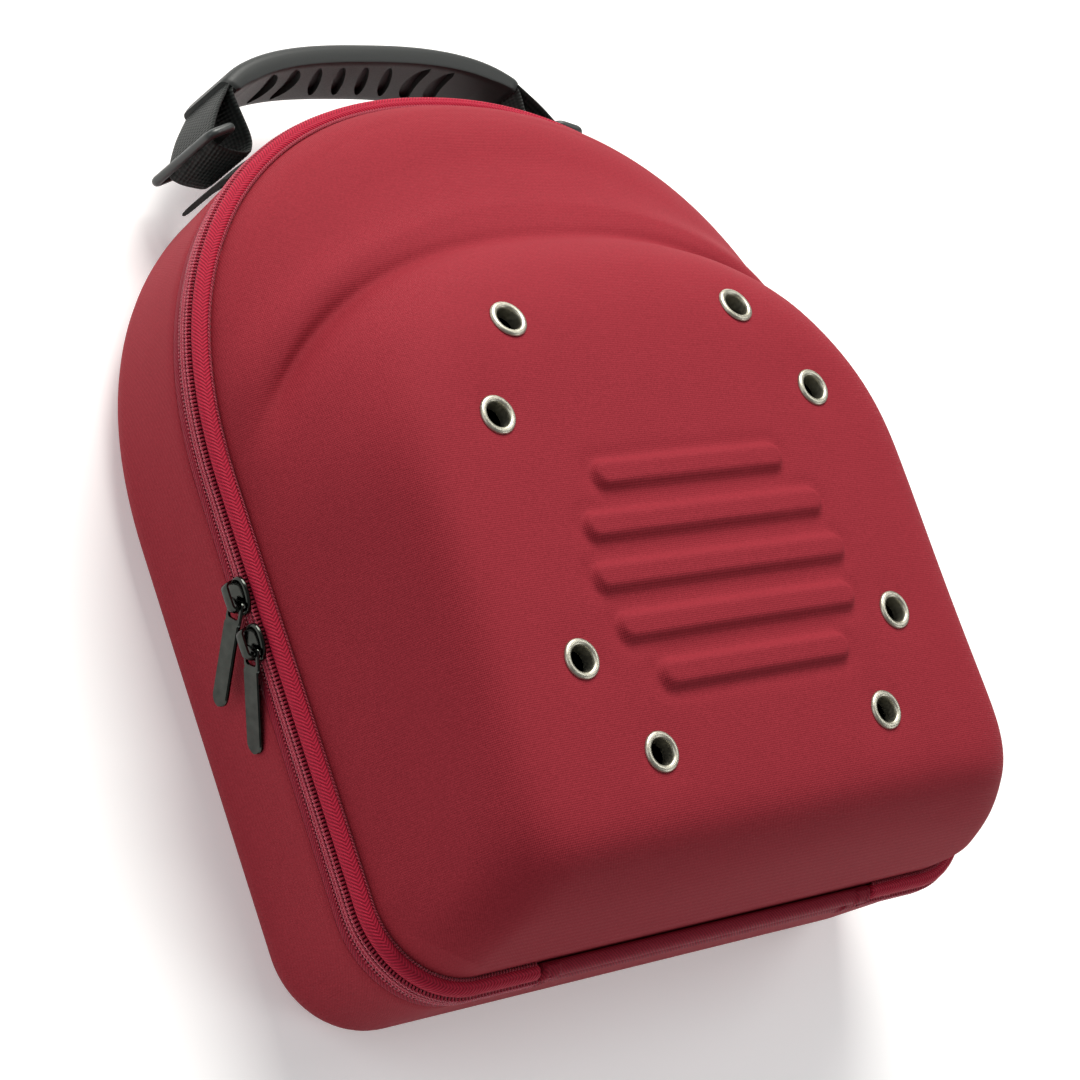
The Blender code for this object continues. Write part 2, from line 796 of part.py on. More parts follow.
def grip_frame(share):
    step = 0.01
    before = grip_point(max(share - step, -1))
    after = grip_point(min(share + step, 1))
    along = (after - before).normalized()
    return grip_point(share), Vector((-along.y, along.x))


def handle_grip():
    """The moulded grip: a flat bar bent down at its ends, with slanted grooves underneath."""
    rings = []
    for section in GRIP_SECTIONS:
        centre, out = grip_frame(section.place)
        half_width = GRIP_WIDTH / 2 * section.width
        half = GRIP_THICKNESS / 2
        top = half
        bottom = half - GRIP_THICKNESS * section.thickness
        soft = min(0.0025, (top - bottom) / 3)
        corners = [
            (-half_width + soft, top),
            (-half_width, top - soft),
            (-half_width, bottom + soft / 2),
            (-half_width + soft / 2, bottom),
            (half_width - soft / 2, bottom),
            (half_width, bottom + soft / 2),
            (half_width, top - soft),
            (half_width - soft, top),
        ]
        ring = []
        for across, up in corners:
            point = centre + out * up
            ring.append((*point, HANDLE_CENTRE_HEIGHT + across))
        rings.append(ring)
    grip = loft_object("handle_grip", rings, grip_rubber(), smooth_angle=50)
    for number in range(7):
        add_cutter(f"grip_groove_{number + 1}", grip_groove((number - 3) * GROOVE_PITCH), grip)
    return grip


def grip_groove(x):
    """A slanted groove with round ends across the grip's underside."""
    half = GROOVE_LENGTH / 2
    side = GROOVE_WIDTH / 2
    outline = arc((half - side, 0), side, -90, 90, 4) + arc((side - half, 0), side, 90, 270, 4)
    slant = math.radians(90 - GROOVE_SLANT)
    shares = [i / 40 for i in range(-40, 41)]
    nearest = min(shares, key=lambda share: abs(grip_point(share).x - x))
    underside = grip_point(nearest).y - GRIP_THICKNESS / 2

    def place(u, v, w):
        across = u * math.cos(slant) - v * math.sin(slant)
        along = u * math.sin(slant) + v * math.cos(slant)
        return (x + across, underside + GROOVE_DEPTH - w, HANDLE_CENTRE_HEIGHT + along)

    bm = bmesh.new()
    prism(bm, outline, place, 3 * GROOVE_DEPTH)
    return bm


def wall_y(x, height):
    """The Y of the case's upper wall at this X and height, and the way out from it."""
    inset = wall_inset(height)
    half = CASE_FOOT.half_width - inset
    rise = CASE_FOOT.top - CASE_FOOT.arch_start - inset
    power = CASE_FOOT.squareness
    share = (1 - (abs(x) / half) ** power) ** (1 / power)
    y = CASE_FOOT.arch_start + rise * share
    slope = Vector((math.copysign((abs(x) / half) ** (power - 1) / half, x), share ** (power - 1) / rise))
    return y, slope.normalized()


def thick_path(points, thickness):
    """The outline of a strip that follows these points, half its thickness to each side."""
    left = []
    right = []
    for i, point in enumerate(points):
        before = points[max(i - 1, 0)]
        after = points[min(i + 1, len(points) - 1)]
        first = (point - before).normalized() if i else (after - point).normalized()
        second = (after - point).normalized() if i < len(points) - 1 else first
        normal = Vector((-(first.y + second.y), first.x + second.x)).normalized()
        widen = 1 / max(normal.dot(Vector((-first.y, first.x))), 0.5)
        left.append(point + normal * thickness / 2 * widen)
        right.append(point - normal * thickness / 2 * widen)
    return left + right[::-1]


def web_strip(name, points, thickness, width, material):
    """A strip of webbing whose edge is seen as this path in X and Y, across the handle's centre height."""
    outline = thick_path(points, thickness)
    bm = bmesh.new()

    def place(u, v, w):
        return (u, v, HANDLE_CENTRE_HEIGHT - width / 2 + w)

    prism(bm, outline, place, width)
    bmesh.ops.recalc_face_normals(bm, faces=bm.faces)
    return add_object(name, bm, material, smooth_angle=50)


def anchor_point(side):
    """Where the handle's strap meets the case: on top of the anchor patch."""
    x = side * ANCHOR_HALF_SPAN
    y, out = wall_y(x, HANDLE_CENTRE_HEIGHT + GRIP_WIDTH / 2)
    lift = WEBBING_THICKNESS + 2 * CLEARANCE
    return Vector((x, y)) + out * lift, out


def anchor_patch(name, side):
    """The webbing patch sewn to the case's wall under the ring."""
    points = []
    steps = 6
    for i in range(steps + 1):
        x = side * (ANCHOR_HALF_SPAN + lerp(-ANCHOR_LENGTH / 2, ANCHOR_LENGTH / 2, i / steps))
        y, out = wall_y(x, HANDLE_CENTRE_HEIGHT + WEBBING_WIDTH / 2)
        points.append(Vector((x, y)) + out * (CLEARANCE + WEBBING_THICKNESS / 2))
    if side < 0:
        points = points[::-1]
    return web_strip(name, points, WEBBING_THICKNESS, WEBBING_WIDTH, black_webbing())


def ring_bars(side):
    """Middles of the ring's two long bars: the outer under the strap's lower leg, the inner above it."""
    foot, _ = anchor_point(side)
    outer = foot + Vector((side * RING_OUT, RING_UP))
    tilt = math.radians(RING_TILT)
    inner = outer + Vector((-side * math.cos(tilt), math.sin(tilt))) * (RING_DEPTH - RING_WIRE / 4)
    return outer, inner


def grip_thickness(share):
    """The grip's thickness at a share of its length, read between its sections."""
    for first, second in zip(GRIP_SECTIONS, GRIP_SECTIONS[1:]):
        if share <= second.place:
            part = (share - first.place) / (second.place - first.place)
            return GRIP_THICKNESS * lerp(first.thickness, second.thickness, part)
    return GRIP_THICKNESS * GRIP_SECTIONS[-1].thickness


def under_grip(share, plies):
    """The middle of a strip of webbing under the grip, the given number of plies down from it."""
    centre, out = grip_frame(share)
    sunk = grip_thickness(share) - GRIP_THICKNESS / 2
    return centre - out * (sunk + CLEARANCE + (plies - 0.5) * (WEBBING_THICKNESS + CLEARANCE))


def strap(name, side):
    """The handle's webbing at one end: out of the grip, folded over the ring's bar, to the patch and back up."""
    half = WEBBING_THICKNESS / 2
    foot, _ = anchor_point(side)
    outer, _ = ring_bars(side)
    over_bar = outer + Vector((0, RING_WIRE / 2 + CLEARANCE + half))
    seat = foot + Vector((0, half + 2 * CLEARANCE))
    points = [
        under_grip(side * 0.82, 1),
        under_grip(side * 0.92, 1),
        under_grip(side * 1.0, 1.35),
    ]
    for out, up in ((0.72, 0.84), (0.92, 0.44), (0.68, 0.12)):
        points.append(over_bar + Vector((side * out, up)) * STRAP_FOLD)
    points.append(over_bar)
    for out, up in ((0.60, 0.20), (0.0, 0.0), (-0.30, 0.36), (-0.20, 1.2)):
        points.append(seat + Vector((side * out, up)) * STRAP_FOLD)
    points.append(under_grip(side * 0.70, 1))
    return web_strip(name, points, WEBBING_THICKNESS, WEBBING_WIDTH, black_webbing())


def strap_ring(name, side):
    """A closed rectangular ring of round wire, its long bars across the strap."""
    outer, inner = ring_bars(side)
    half = RING_LENGTH / 2 - RING_WIRE / 2
    round_off = RING_WIRE * 0.8
    across = (inner - outer).normalized()
    reach_in = (inner - outer).length
    path = []
    for centre_u, centre_v, start in (
        (reach_in - round_off, half - round_off, 0),
        (round_off, half - round_off, 90),
        (round_off, round_off - half, 180),
        (reach_in - round_off, round_off - half, 270),
    ):
        path += arc((centre_u, centre_v), round_off, start, start + 90, 2)
    rings = []
    count = len(path)
    sides = 6
    for i, (u, v) in enumerate(path):
        before = Vector(path[i - 1])
        after = Vector(path[(i + 1) % count])
        along = (after - before).normalized()
        outward = Vector((along.y, -along.x))
        ring = []
        for k in range(sides):
            turn = 2 * math.pi * k / sides
            flat = Vector((u, v)) + outward * math.cos(turn) * RING_WIRE / 2
            lift = math.sin(turn) * RING_WIRE / 2
            plane = outer + across * flat.x + Vector((-across.y, across.x)) * lift
            ring.append((*plane, HANDLE_CENTRE_HEIGHT + flat.y))
        rings.append(ring)
    return loft_object(name, rings, black_plastic(), closed_loop=True)


def build():
    clear_scene()
    back_shell()
    front_shell()
    zip_chain()
    zip_tape_back()
    zip_piping()
    hinge_strip()
    for number, (x, y) in enumerate(eyelet_places(), 1):
        eyelet(number, x, y)
    middles = slider_middles()
    for place, middle in middles.items():
        slider(f"slider_{place}", middle)
    pull("pull_upper", pull_frame(middles["upper"], UPPER_PULL_SWING, over_slider=True))
    pull("pull_lower", pull_frame(middles["lower"], LOWER_PULL_SWING, over_slider=False))
    handle_grip()
    for place, side in (("left", -1), ("right", 1)):
        strap(f"handle_strap_{place}", side)
        strap_ring(f"strap_ring_{place}", side)
        anchor_patch(f"anchor_patch_{place}", side)


build()
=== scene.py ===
"""The looks of a cap carrier case: pressed cloth, coil zip, woven bands, plated metal, rubber and webbing.

X runs across the case, Y up its length to the handle and Z from its back to its front. Lengths are metres
and are written as millimetres times MM. Angles that have a name in capitals are degrees.
"""

import json
import math
from collections import namedtuple

import bmesh
import bpy
import numpy as np
from mathutils import Matrix, Vector


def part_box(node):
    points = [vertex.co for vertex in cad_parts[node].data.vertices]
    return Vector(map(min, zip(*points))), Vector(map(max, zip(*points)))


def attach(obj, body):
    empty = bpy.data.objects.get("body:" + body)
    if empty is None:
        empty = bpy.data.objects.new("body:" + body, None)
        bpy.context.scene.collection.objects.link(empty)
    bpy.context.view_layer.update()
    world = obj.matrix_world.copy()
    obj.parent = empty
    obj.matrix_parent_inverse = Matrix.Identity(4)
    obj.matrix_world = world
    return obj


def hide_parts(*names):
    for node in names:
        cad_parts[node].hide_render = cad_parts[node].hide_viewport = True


MM = 0.001

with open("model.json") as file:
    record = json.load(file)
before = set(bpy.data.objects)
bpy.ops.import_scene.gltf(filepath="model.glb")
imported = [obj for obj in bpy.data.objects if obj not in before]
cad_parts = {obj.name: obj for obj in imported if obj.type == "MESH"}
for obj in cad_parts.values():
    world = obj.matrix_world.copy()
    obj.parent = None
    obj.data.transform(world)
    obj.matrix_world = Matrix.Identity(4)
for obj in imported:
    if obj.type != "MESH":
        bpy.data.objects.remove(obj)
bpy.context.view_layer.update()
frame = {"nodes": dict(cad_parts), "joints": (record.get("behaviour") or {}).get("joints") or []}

tape_low, tape_high = (np.array(corner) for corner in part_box("zip_tape_back"))
chain_low, chain_high = (np.array(corner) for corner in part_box("zip_chain"))
piping_low, piping_high = (np.array(corner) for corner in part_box("zip_piping"))
FLOOR_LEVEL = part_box("back_shell")[0][2]

# Case
HALF_WIDTH = tape_high[0]
TOP = tape_high[1]
BOTTOM = tape_low[1]
SEAM = (chain_low[2] + chain_high[2]) / 2
ARCH_START = BOTTOM + 167.5 * MM
ARCH_SQUARENESS = 2.19
CORNER = 33 * MM
WALL = 4 * MM
BACK_DRAFT = 4.0
BACK_EDGE = 18 * MM
HINGE_HALF = 75 * MM

# Front shell
CROWN_RISE = 58.8 * MM
CROWN_SWELL = 0.35
DOME_RISE = 28.4 * MM
DOME_EDGE = 65.9 * MM
DOME_TILT = 0.0575
VALLEY_DEPTH = 3.8 * MM
VALLEY_WIDTH = 15.3 * MM
VALLEY_OFFSET = 5.1 * MM
VALLEY_BLEND = 9.2 * MM
PIPING_DEPTH = 4.4 * MM
FORM_EASE = 10 * MM
PIPING_THIRD = (piping_high[2] - piping_low[2]) / 3
EDGE_LEVEL = piping_high[2] - PIPING_THIRD

# Crease where the crown rises out of the dome
CREASE_TOP = BOTTOM + 230.5 * MM
CREASE_SQUARENESS = 2.4
CREASE_DEPTH = 4.2 * MM
CREASE_WIDTH = 3.6 * MM
CREASE_END = BOTTOM + 170 * MM
CREASE_FADE = 28 * MM
CREASE_SPREAD = 95 * MM
CREASE_AT_MIDDLE = 0.4
LIP_RISE = 2.6 * MM
LIP_AWAY = 11 * MM
LIP_WIDTH = 7 * MM
SHOULDER_RISE = 1.5 * MM
SHOULDER_AWAY = 11 * MM
SHOULDER_WIDTH = 9 * MM

# Eyelets
EYELET_MIDDLE = BOTTOM + 122.2 * MM
EYELET_ROWS = ((72.2 * MM, 51.2 * MM), (40 * MM, 71.1 * MM), (-40 * MM, 71.1 * MM), (-72.2 * MM, 51.2 * MM))
EYELET_RADIUS = 6.6 * MM
EYELET_HOLE = 4.3 * MM
EYELET_SUNK = 0.4 * MM
DIMPLE_DEPTH = 0.75 * MM
DIMPLE_RADIUS = 9.5 * MM

# Raised ribs
RIB_COUNT = 5
RIB_PITCH = 16.5 * MM
RIB_HALF_WIDTH = 4.2 * MM
RIB_RISE = 2.1 * MM
RIB_SOFT = 2.6 * MM
RIB_DITCH = 0.35 * MM
RIB_MIDDLE = BOTTOM + 106 * MM
RIB_HALF_LENGTH = 56 * MM
RIB_PANEL_HALF_HEIGHT = 50 * MM

# Zip
TOOTH_PITCH = 1.3 * MM
TOOTH_WIRE = 0.47 * MM
CHAIN_HALF = 3.1 * MM
RIB_OF_TAPE = 0.95 * MM
TAPE_SLANT = 0.9
STITCH_FROM_END = 2.2 * MM

# Handle
HANDLE_HEIGHT = 30.5 * MM
GRIP_WIDTH = 28 * MM
GRIP_THICKNESS = 8 * MM
GRIP_HALF_SPAN = 70 * MM
GRIP_DROP = 29 * MM
GRIP_SQUARENESS = 2.6
GRIP_TURN = 83.0
RUBBER_END = 0.76
GRIP_CREST = TOP + 23.2 * MM + GRIP_THICKNESS / 2
WEBBING_WIDTH = 27 * MM
WEBBING = 1.8 * MM
# Where the webbing's two plies lie in the grip, and its fold on the patch as (out, up) in millimetres.
PLY_LIFTS = (1.5 * MM, -0.9 * MM)
PLY_SHARES = (0.66, 0.73, 0.80)
FOLD_POINTS = ((4, 0.3), (0, 0), (-2.6, 2.2), (-3.6, 7.5))
ANCHOR_HALF_SPAN = 66 * MM
ANCHOR_LENGTH = 26 * MM
RING_LENGTH = 38.5 * MM
RING_DEPTH = 11.5 * MM
RING_WIRE = 3.2 * MM
RING_OUT = 16.5 * MM
RING_UP = 5.8 * MM
RING_TILT = 17.0
CLEARANCE = 0.3 * MM

# Sliders and pulls
SLIDER_LENGTH = 12 * MM
SLIDER_WIDTH = 8.6 * MM
SLIDER_PLATE = 1.6 * MM
PULL_LENGTH = 34 * MM
PULL_WIDTH = 7 * MM
PULL_EYE_WIDTH = 5 * MM
PULL_EYE_LENGTH = 5 * MM
PULL_BAR = 1.2 * MM

# Camera, from the photograph's view
CAMERA_PLACE = (-759.9 * MM, -251.8 * MM, 832.4 * MM)
CAMERA_AZIMUTH = -72.08
CAMERA_ELEVATION = 44.56
CAMERA_ROLL = 58.26
CAMERA_LENS = 112.13

# Light, with places and sizes in metres and power in watts
Light = namedtuple("Light", "name place size power colour")
LIGHTS = (
    Light("key", (0.3, 1.5, 1.4), 1.2, 58, "FFFDF8"),
    Light("fill", (-1.7, 0.3, 1.2), 1.2, 9, "F8FBFF"),
    Light("right", (1.4, 0.2, 1.6), 0.8, 7, "FFFFFF"),
    Light("low", (1.2, -1.2, 0.9), 0.8, 6, "FFFFFF"),
)
LIGHT_TARGET = (0, 0, 60 * MM)
# The floor's glow is painted light: it lightens the case's shadow on the floor and lights the case's lower
# sides.
FLOOR_GLOW = 0.25
WORLD_GLOW = 0.18


# Colour and nodes


def linear(hex_colour):
    """The linear colour of an sRGB hex value."""
    channels = [int(hex_colour[i : i + 2], 16) / 255 for i in (0, 2, 4)]
    return tuple(c / 12.92 if c <= 0.04045 else ((c + 0.055) / 1.055) ** 2.4 for c in channels) + (1.0,)


def connect(tree, node, links):
    """Links nodes, by their first output, or outputs to a node's sockets."""
    for key, source in links.items():
        tree.links.new(source.outputs[0] if isinstance(source, bpy.types.Node) else source, node.inputs[key])


def add(tree, kind, settings=None, links=None):
    """Adds a node: settings hold its properties and socket values, links its incoming sockets."""
    made = tree.nodes.new(kind)
    for key, value in (settings or {}).items():
        if isinstance(key, str) and hasattr(made, key):
            setattr(made, key, value)
        else:
            made.inputs[key].default_value = value
    connect(tree, made, links or {})
    return made


def new_material(name, **sockets):
    """A material whose shader has these socket values; underscores stand for spaces."""
    material = bpy.data.materials.new(name)
    material.use_nodes = True
    shader = material.node_tree.nodes["Principled BSDF"]
    for socket, value in sockets.items():
        shader.inputs[socket.replace("_", " ").title().replace("Ior", "IOR")].default_value = value
    return material, material.node_tree, shader


def waves(tree, coords, direction, pitch):
    """A sine from -1 to 1 that repeats with this pitch along a direction."""
    rate = Vector(direction).normalized() * (2 * math.pi / pitch)
    along = add(tree, "ShaderNodeVectorMath", {"operation": "DOT_PRODUCT", 1: rate}, {0: coords})
    return add(tree, "ShaderNodeMath", {"operation": "SINE"}, {0: along.outputs["Value"]})


def tones(dark, light):
    """The settings of a colour mix from a dark end to a light one."""
    return {"data_type": "RGBA", 6: linear(dark), 7: linear(light)}


# Materials


def pressed_knit():
    """Polyester knit pressed hot onto EVA foam: matt, slightly velvety, with a fine diagonal grain."""
    material, tree, shader = new_material(
        "pressed_polyester_knit",
        roughness=0.75,
        specular_ior_level=0.1,
        sheen_weight=0.08,
        sheen_roughness=0.4,
        sheen_tint=linear("F08088"),
    )
    coords = add(tree, "ShaderNodeTexCoord").outputs["Object"]
    # The knit's real stitch is 0.5 mm; it is drawn at 0.9 mm, the finest that shows.
    stitch = 0.9 * MM
    crossing = {0: waves(tree, coords, (1, 1, 0.5), stitch), 1: waves(tree, coords, (1, -1, 0.5), stitch)}
    grain = add(tree, "ShaderNodeMath", {"operation": "MULTIPLY"}, crossing)
    share = add(tree, "ShaderNodeMapRange", {1: -1.0, 2: 1.0, 3: 0.2, 4: 0.7}, {0: grain})
    speckle = add(tree, "ShaderNodeTexNoise", {"Scale": 1 / (0.7 * MM)}, {"Vector": coords})
    patches = add(tree, "ShaderNodeTexNoise", {"Scale": 1 / (14 * MM), "Detail": 3.0}, {"Vector": coords})
    base = add(tree, "ShaderNodeMix", tones("86202A", "8D242E"), {0: patches})
    threads = add(tree, "ShaderNodeMix", tones("60121C", "AC3A46"), {0: speckle})
    ends = {0: share, 6: base.outputs[2], 7: threads.outputs[2]}
    colour = add(tree, "ShaderNodeMix", {"data_type": "RGBA"}, ends)
    height = add(tree, "ShaderNodeMath", {"operation": "MULTIPLY_ADD", 1: 1.2}, {0: speckle, 2: grain})
    bump = add(tree, "ShaderNodeBump", {"Distance": 0.045 * MM}, {"Height": height})
    connect(tree, shader, {"Base Color": colour.outputs[2], "Normal": bump})
    return material


def lining():
    """Brushed tricot on the inside of the foam: dark and matt."""
    material, tree, shader = new_material("brushed_tricot", roughness=0.9, specular_ior_level=0.2)
    coords = add(tree, "ShaderNodeTexCoord").outputs["Object"]
    fuzz = add(tree, "ShaderNodeTexNoise", {"Scale": 1 / (1.2 * MM)}, {"Vector": coords})
    colour = add(tree, "ShaderNodeMix", tones("0B0B0B", "171616"), {0: fuzz})
    bump = add(tree, "ShaderNodeBump", {"Distance": 0.05 * MM}, {"Height": fuzz})
    connect(tree, shader, {"Base Color": colour.outputs[2], "Normal": bump})
    return material


def woven_tape(name, dark, light, sheen):
    """Woven polyester zip tape: matt, with slanted ribs that follow its own length and width, and painted
    shade in their grooves.
    """
    material, tree, shader = new_material(
        name,
        roughness=0.65,
        specular_ior_level=0.15,
        sheen_weight=sheen,
        sheen_roughness=0.4,
        sheen_tint=linear("F08090"),
    )
    thread = add(tree, "ShaderNodeAttribute", {"attribute_name": "thread"}).outputs["Vector"]
    coords = add(tree, "ShaderNodeTexCoord").outputs["Object"]
    rib = waves(tree, thread, (1, TAPE_SLANT, 0), RIB_OF_TAPE)
    rib_height_and_groove_shade = add(tree, "ShaderNodeMapRange", {1: -1.0, 2: 1.0, 3: 0.0, 4: 0.7}, {0: rib})
    fuzz = add(tree, "ShaderNodeTexNoise", {"Scale": 1 / (0.7 * MM)}, {"Vector": coords})
    # The colour darkens where the ribs dip: painted shade in their grooves, over a random fuzz.
    share = add(tree, "ShaderNodeMath", {"operation": "MULTIPLY_ADD", 1: 0.3}, {0: fuzz, 2: rib_height_and_groove_shade})
    colour = add(tree, "ShaderNodeMix", tones(dark, light), {0: share})
    height = add(tree, "ShaderNodeMath", {"operation": "MULTIPLY_ADD", 1: 0.5}, {0: fuzz, 2: rib_height_and_groove_shade})
    bump = add(tree, "ShaderNodeBump", {"Distance": 0.22 * MM}, {"Height": height})
    connect(tree, shader, {"Base Color": colour.outputs[2], "Normal": bump})
    return material


def nylon_coil():
    """Dyed nylon monofilament of the zip's teeth: smooth and a little glossy."""
    material, tree, shader = new_material("nylon_coil", roughness=0.42, specular_ior_level=0.35)
    coords = add(tree, "ShaderNodeTexCoord").outputs["Object"]
    spots = add(tree, "ShaderNodeTexNoise", {"Scale": 1 / (1.6 * MM)}, {"Vector": coords})
    colour = add(tree, "ShaderNodeMix", tones("84162C", "B42842"), {0: spots})
    bump = add(tree, "ShaderNodeBump", {"Distance": 0.03 * MM}, {"Height": spots})
    connect(tree, shader, {"Base Color": colour.outputs[2], "Normal": bump})
    return material


def sewing_thread(name, dark, light):
    """Twisted polyester sewing thread: a soft sheen, with slanted plies."""
    material, tree, shader = new_material(name, roughness=0.6, sheen_weight=0.2)
    coords = add(tree, "ShaderNodeTexCoord").outputs["Object"]
    ply = waves(tree, coords, (1, 0.6, 0.8), 0.5 * MM)
    share = add(tree, "ShaderNodeMapRange", {1: -1.0, 2: 1.0}, {0: ply})
    colour = add(tree, "ShaderNodeMix", tones(dark, light), {0: share})
    bump = add(tree, "ShaderNodeBump", {"Distance": 0.04 * MM}, {"Height": ply})
    connect(tree, shader, {"Base Color": colour.outputs[2], "Normal": bump})
    return material


def worn_surface(name, size, dark, light, smooth, rough, depth, **sockets):
    """A hard surface whose colour, gloss and fine relief change in patches of about this size."""
    material, tree, shader = new_material(name, **sockets)
    coords = add(tree, "ShaderNodeTexCoord").outputs["Object"]
    marks = add(tree, "ShaderNodeTexNoise", {"Scale": 1 / size, "Detail": 4.0}, {"Vector": coords})
    colour = add(tree, "ShaderNodeMix", tones(dark, light), {0: marks})
    gloss = add(tree, "ShaderNodeMapRange", {1: 0.3, 2: 0.7, 3: smooth, 4: rough}, {0: marks})
    bump = add(tree, "ShaderNodeBump", {"Distance": depth}, {"Height": marks})
    connect(tree, shader, {"Base Color": colour.outputs[2], "Roughness": gloss, "Normal": bump})
    return material


def nickel_plate():
    """Nickel plate on rolled brass: pale, satin, with fine rolling marks."""
    return worn_surface("nickel_plate", 0.8 * MM, "A9A697", "C8C5B6", 0.36, 0.50, 0.01 * MM, metallic=1.0)


def black_nickel():
    """Black nickel plate on die-cast zinc: a dark mirror, worn a little greyer in patches."""
    return worn_surface("black_nickel", 3.5 * MM, "262826", "484B47", 0.10, 0.22, 0.01 * MM, metallic=1.0)


def moulded_rubber():
    """Moulded thermoplastic rubber: dark grey and satin, with a fine spark-eroded grain."""
    return worn_surface(
        "moulded_rubber", 0.6 * MM, "1A1D1C", "242827", 0.46, 0.56, 0.03 * MM, specular_ior_level=0.4
    )


def moulded_nylon():
    """Injection-moulded black nylon: smooth, satin."""
    return worn_surface(
        "moulded_nylon", 4 * MM, "242827", "333837", 0.32, 0.46, 0.02 * MM, specular_ior_level=0.5
    )


def nylon_webbing():
    """Black nylon webbing: ribs along it with fine threads across them, and painted shade in the ribs'
    grooves.
    """
    material, tree, shader = new_material(
        "nylon_webbing",
        roughness=0.62,
        specular_ior_level=0.3,
        sheen_weight=0.06,
        sheen_roughness=0.35,
    )
    thread = add(tree, "ShaderNodeAttribute", {"attribute_name": "thread"}).outputs["Vector"]
    parts = add(tree, "ShaderNodeSeparateXYZ", {}, {0: thread})
    weft = waves(tree, thread, (1, 0.15, 0), 1.3 * MM)
    rib = add(tree, "ShaderNodeMapRange", {1: -1.0, 2: 1.0}, {0: parts.outputs["Z"]})
    bars = add(tree, "ShaderNodeMapRange", {1: -1.0, 2: 1.0, 3: 0.6, 4: 1.0}, {0: weft})
    # The colour darkens in the ribs' grooves and between the threads across them: painted shade.
    share = add(tree, "ShaderNodeMath", {"operation": "MULTIPLY"}, {0: rib, 1: bars})
    colour = add(tree, "ShaderNodeMix", tones("0A0D0C", "282D2A"), {0: share})
    bump = add(tree, "ShaderNodeBump", {"Distance": 0.08 * MM}, {"Height": weft})
    connect(tree, shader, {"Base Color": colour.outputs[2], "Normal": bump})
    return material


def white_floor():
    """A white acrylic sheet, matt on top, as a product is photographed on, that glows faintly: painted light
    that lightens shadows.
    """
    material, tree, shader = new_material(
        "studio_floor",
        roughness=0.9,
        specular_ior_level=0.1,
        emission_color=linear("FFFFFF"),
        emission_strength=FLOOR_GLOW,
    )
    coords = add(tree, "ShaderNodeTexCoord").outputs["Object"]
    cloud = add(tree, "ShaderNodeTexNoise", {"Scale": 1 / 0.4}, {"Vector": coords})
    colour = add(tree, "ShaderNodeMix", tones("F4F4F3", "F8F8F8"), {0: cloud})
    connect(tree, shader, {"Base Color": colour.outputs[2]})
    return material


# Numbers and mesh helpers

UP = np.array((0.0, 0.0, 1.0))


def lerp(a, b, share):
    return a + (b - a) * share


def smoothstep(value):
    value = np.clip(value, 0, 1)
    return value * value * (3 - 2 * value)


def bump_shape(distance):
    """A bell curve that is 1 in its middle."""
    return np.exp(-(distance**2))


def unit(vectors):
    """Vectors of length 1 with the same directions."""
    return vectors / np.linalg.norm(vectors, axis=-1, keepdims=True)


def walked(path):
    """How far along a path each of its points lies."""
    return np.concatenate([[0], np.cumsum(np.linalg.norm(np.diff(path, axis=0), axis=1))])


def signed_power(value, power):
    """A power of a value's size, with the value's sign."""
    return np.sign(value) * np.abs(value) ** power


def circle(count):
    """The angles of points spaced evenly round a circle."""
    return np.arange(count) * 2 * math.pi / count


def outward_mesh(name, points, faces):
    """A mesh whose faces all look outwards."""
    mesh = bpy.data.meshes.new(name)
    mesh.from_pydata(np.asarray(points).reshape(-1, 3).tolist(), [], [tuple(face) for face in faces])
    bm = bmesh.new()
    bm.from_mesh(mesh)
    bmesh.ops.recalc_face_normals(bm, faces=bm.faces)
    bm.to_mesh(mesh)
    bm.free()
    return mesh


def add_piece(
    name, points, faces, materials, body, slot, replaced=(), smooth_angle=40.0, indices=None, thread=None
):
    """Makes a piece from points and faces, and lets it ride on a body in place of some solids."""
    mesh = outward_mesh(name, points, faces)
    for material in materials:
        mesh.materials.append(material)
    if indices is not None:
        mesh.polygons.foreach_set("material_index", np.asarray(indices, np.int32))
    if thread is not None:
        layer = mesh.attributes.new("thread", "FLOAT_VECTOR", "POINT")
        layer.data.foreach_set("vector", np.asarray(thread, np.float32).reshape(-1))
    mesh.shade_smooth()
    mesh.set_sharp_from_angle(angle=math.radians(smooth_angle))
    piece = bpy.data.objects.new(name, mesh)
    bpy.context.scene.collection.objects.link(piece)
    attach(piece, body)
    if replaced:
        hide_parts(*replaced)
    return piece


def grid_faces(rows, columns, wrap_rows=False, caps=False):
    """Faces over a grid of points counted row by row, each row a closed loop."""
    i = np.arange(rows if wrap_rows else rows - 1)[:, None]
    j = np.arange(columns)[None, :]
    next_i = (i + 1) % rows
    next_j = (j + 1) % columns
    corners = ((i, j), (i, next_j), (next_i, next_j), (next_i, j))
    faces = np.stack([row * columns + column for row, column in corners], axis=-1).reshape(-1, 4).tolist()
    if caps:
        faces.append(list(range(columns))[::-1])
        faces.append(list(range((rows - 1) * columns, rows * columns)))
    return faces


def combine(piece, other, operation, smooth_angle):
    """Joins another closed solid to a piece, or takes it away from it."""
    modifier = piece.modifiers.new("combine", "BOOLEAN")
    modifier.operation = operation
    modifier.object = other
    bpy.context.view_layer.update()
    made = bpy.data.meshes.new_from_object(piece.evaluated_get(bpy.context.evaluated_depsgraph_get()))
    piece.modifiers.clear()
    piece.data = made
    made.shade_smooth()
    made.set_sharp_from_angle(angle=math.radians(smooth_angle))
    bpy.data.objects.remove(other)


def cut(piece, cutters, smooth_angle=40.0):
    """Cuts closed solids, each (points, faces), out of a piece."""
    cutter = bpy.data.objects.new("cutter", outward_mesh("cutter", *joined(*cutters)))
    bpy.context.scene.collection.objects.link(cutter)
    combine(piece, cutter, "DIFFERENCE", smooth_angle)


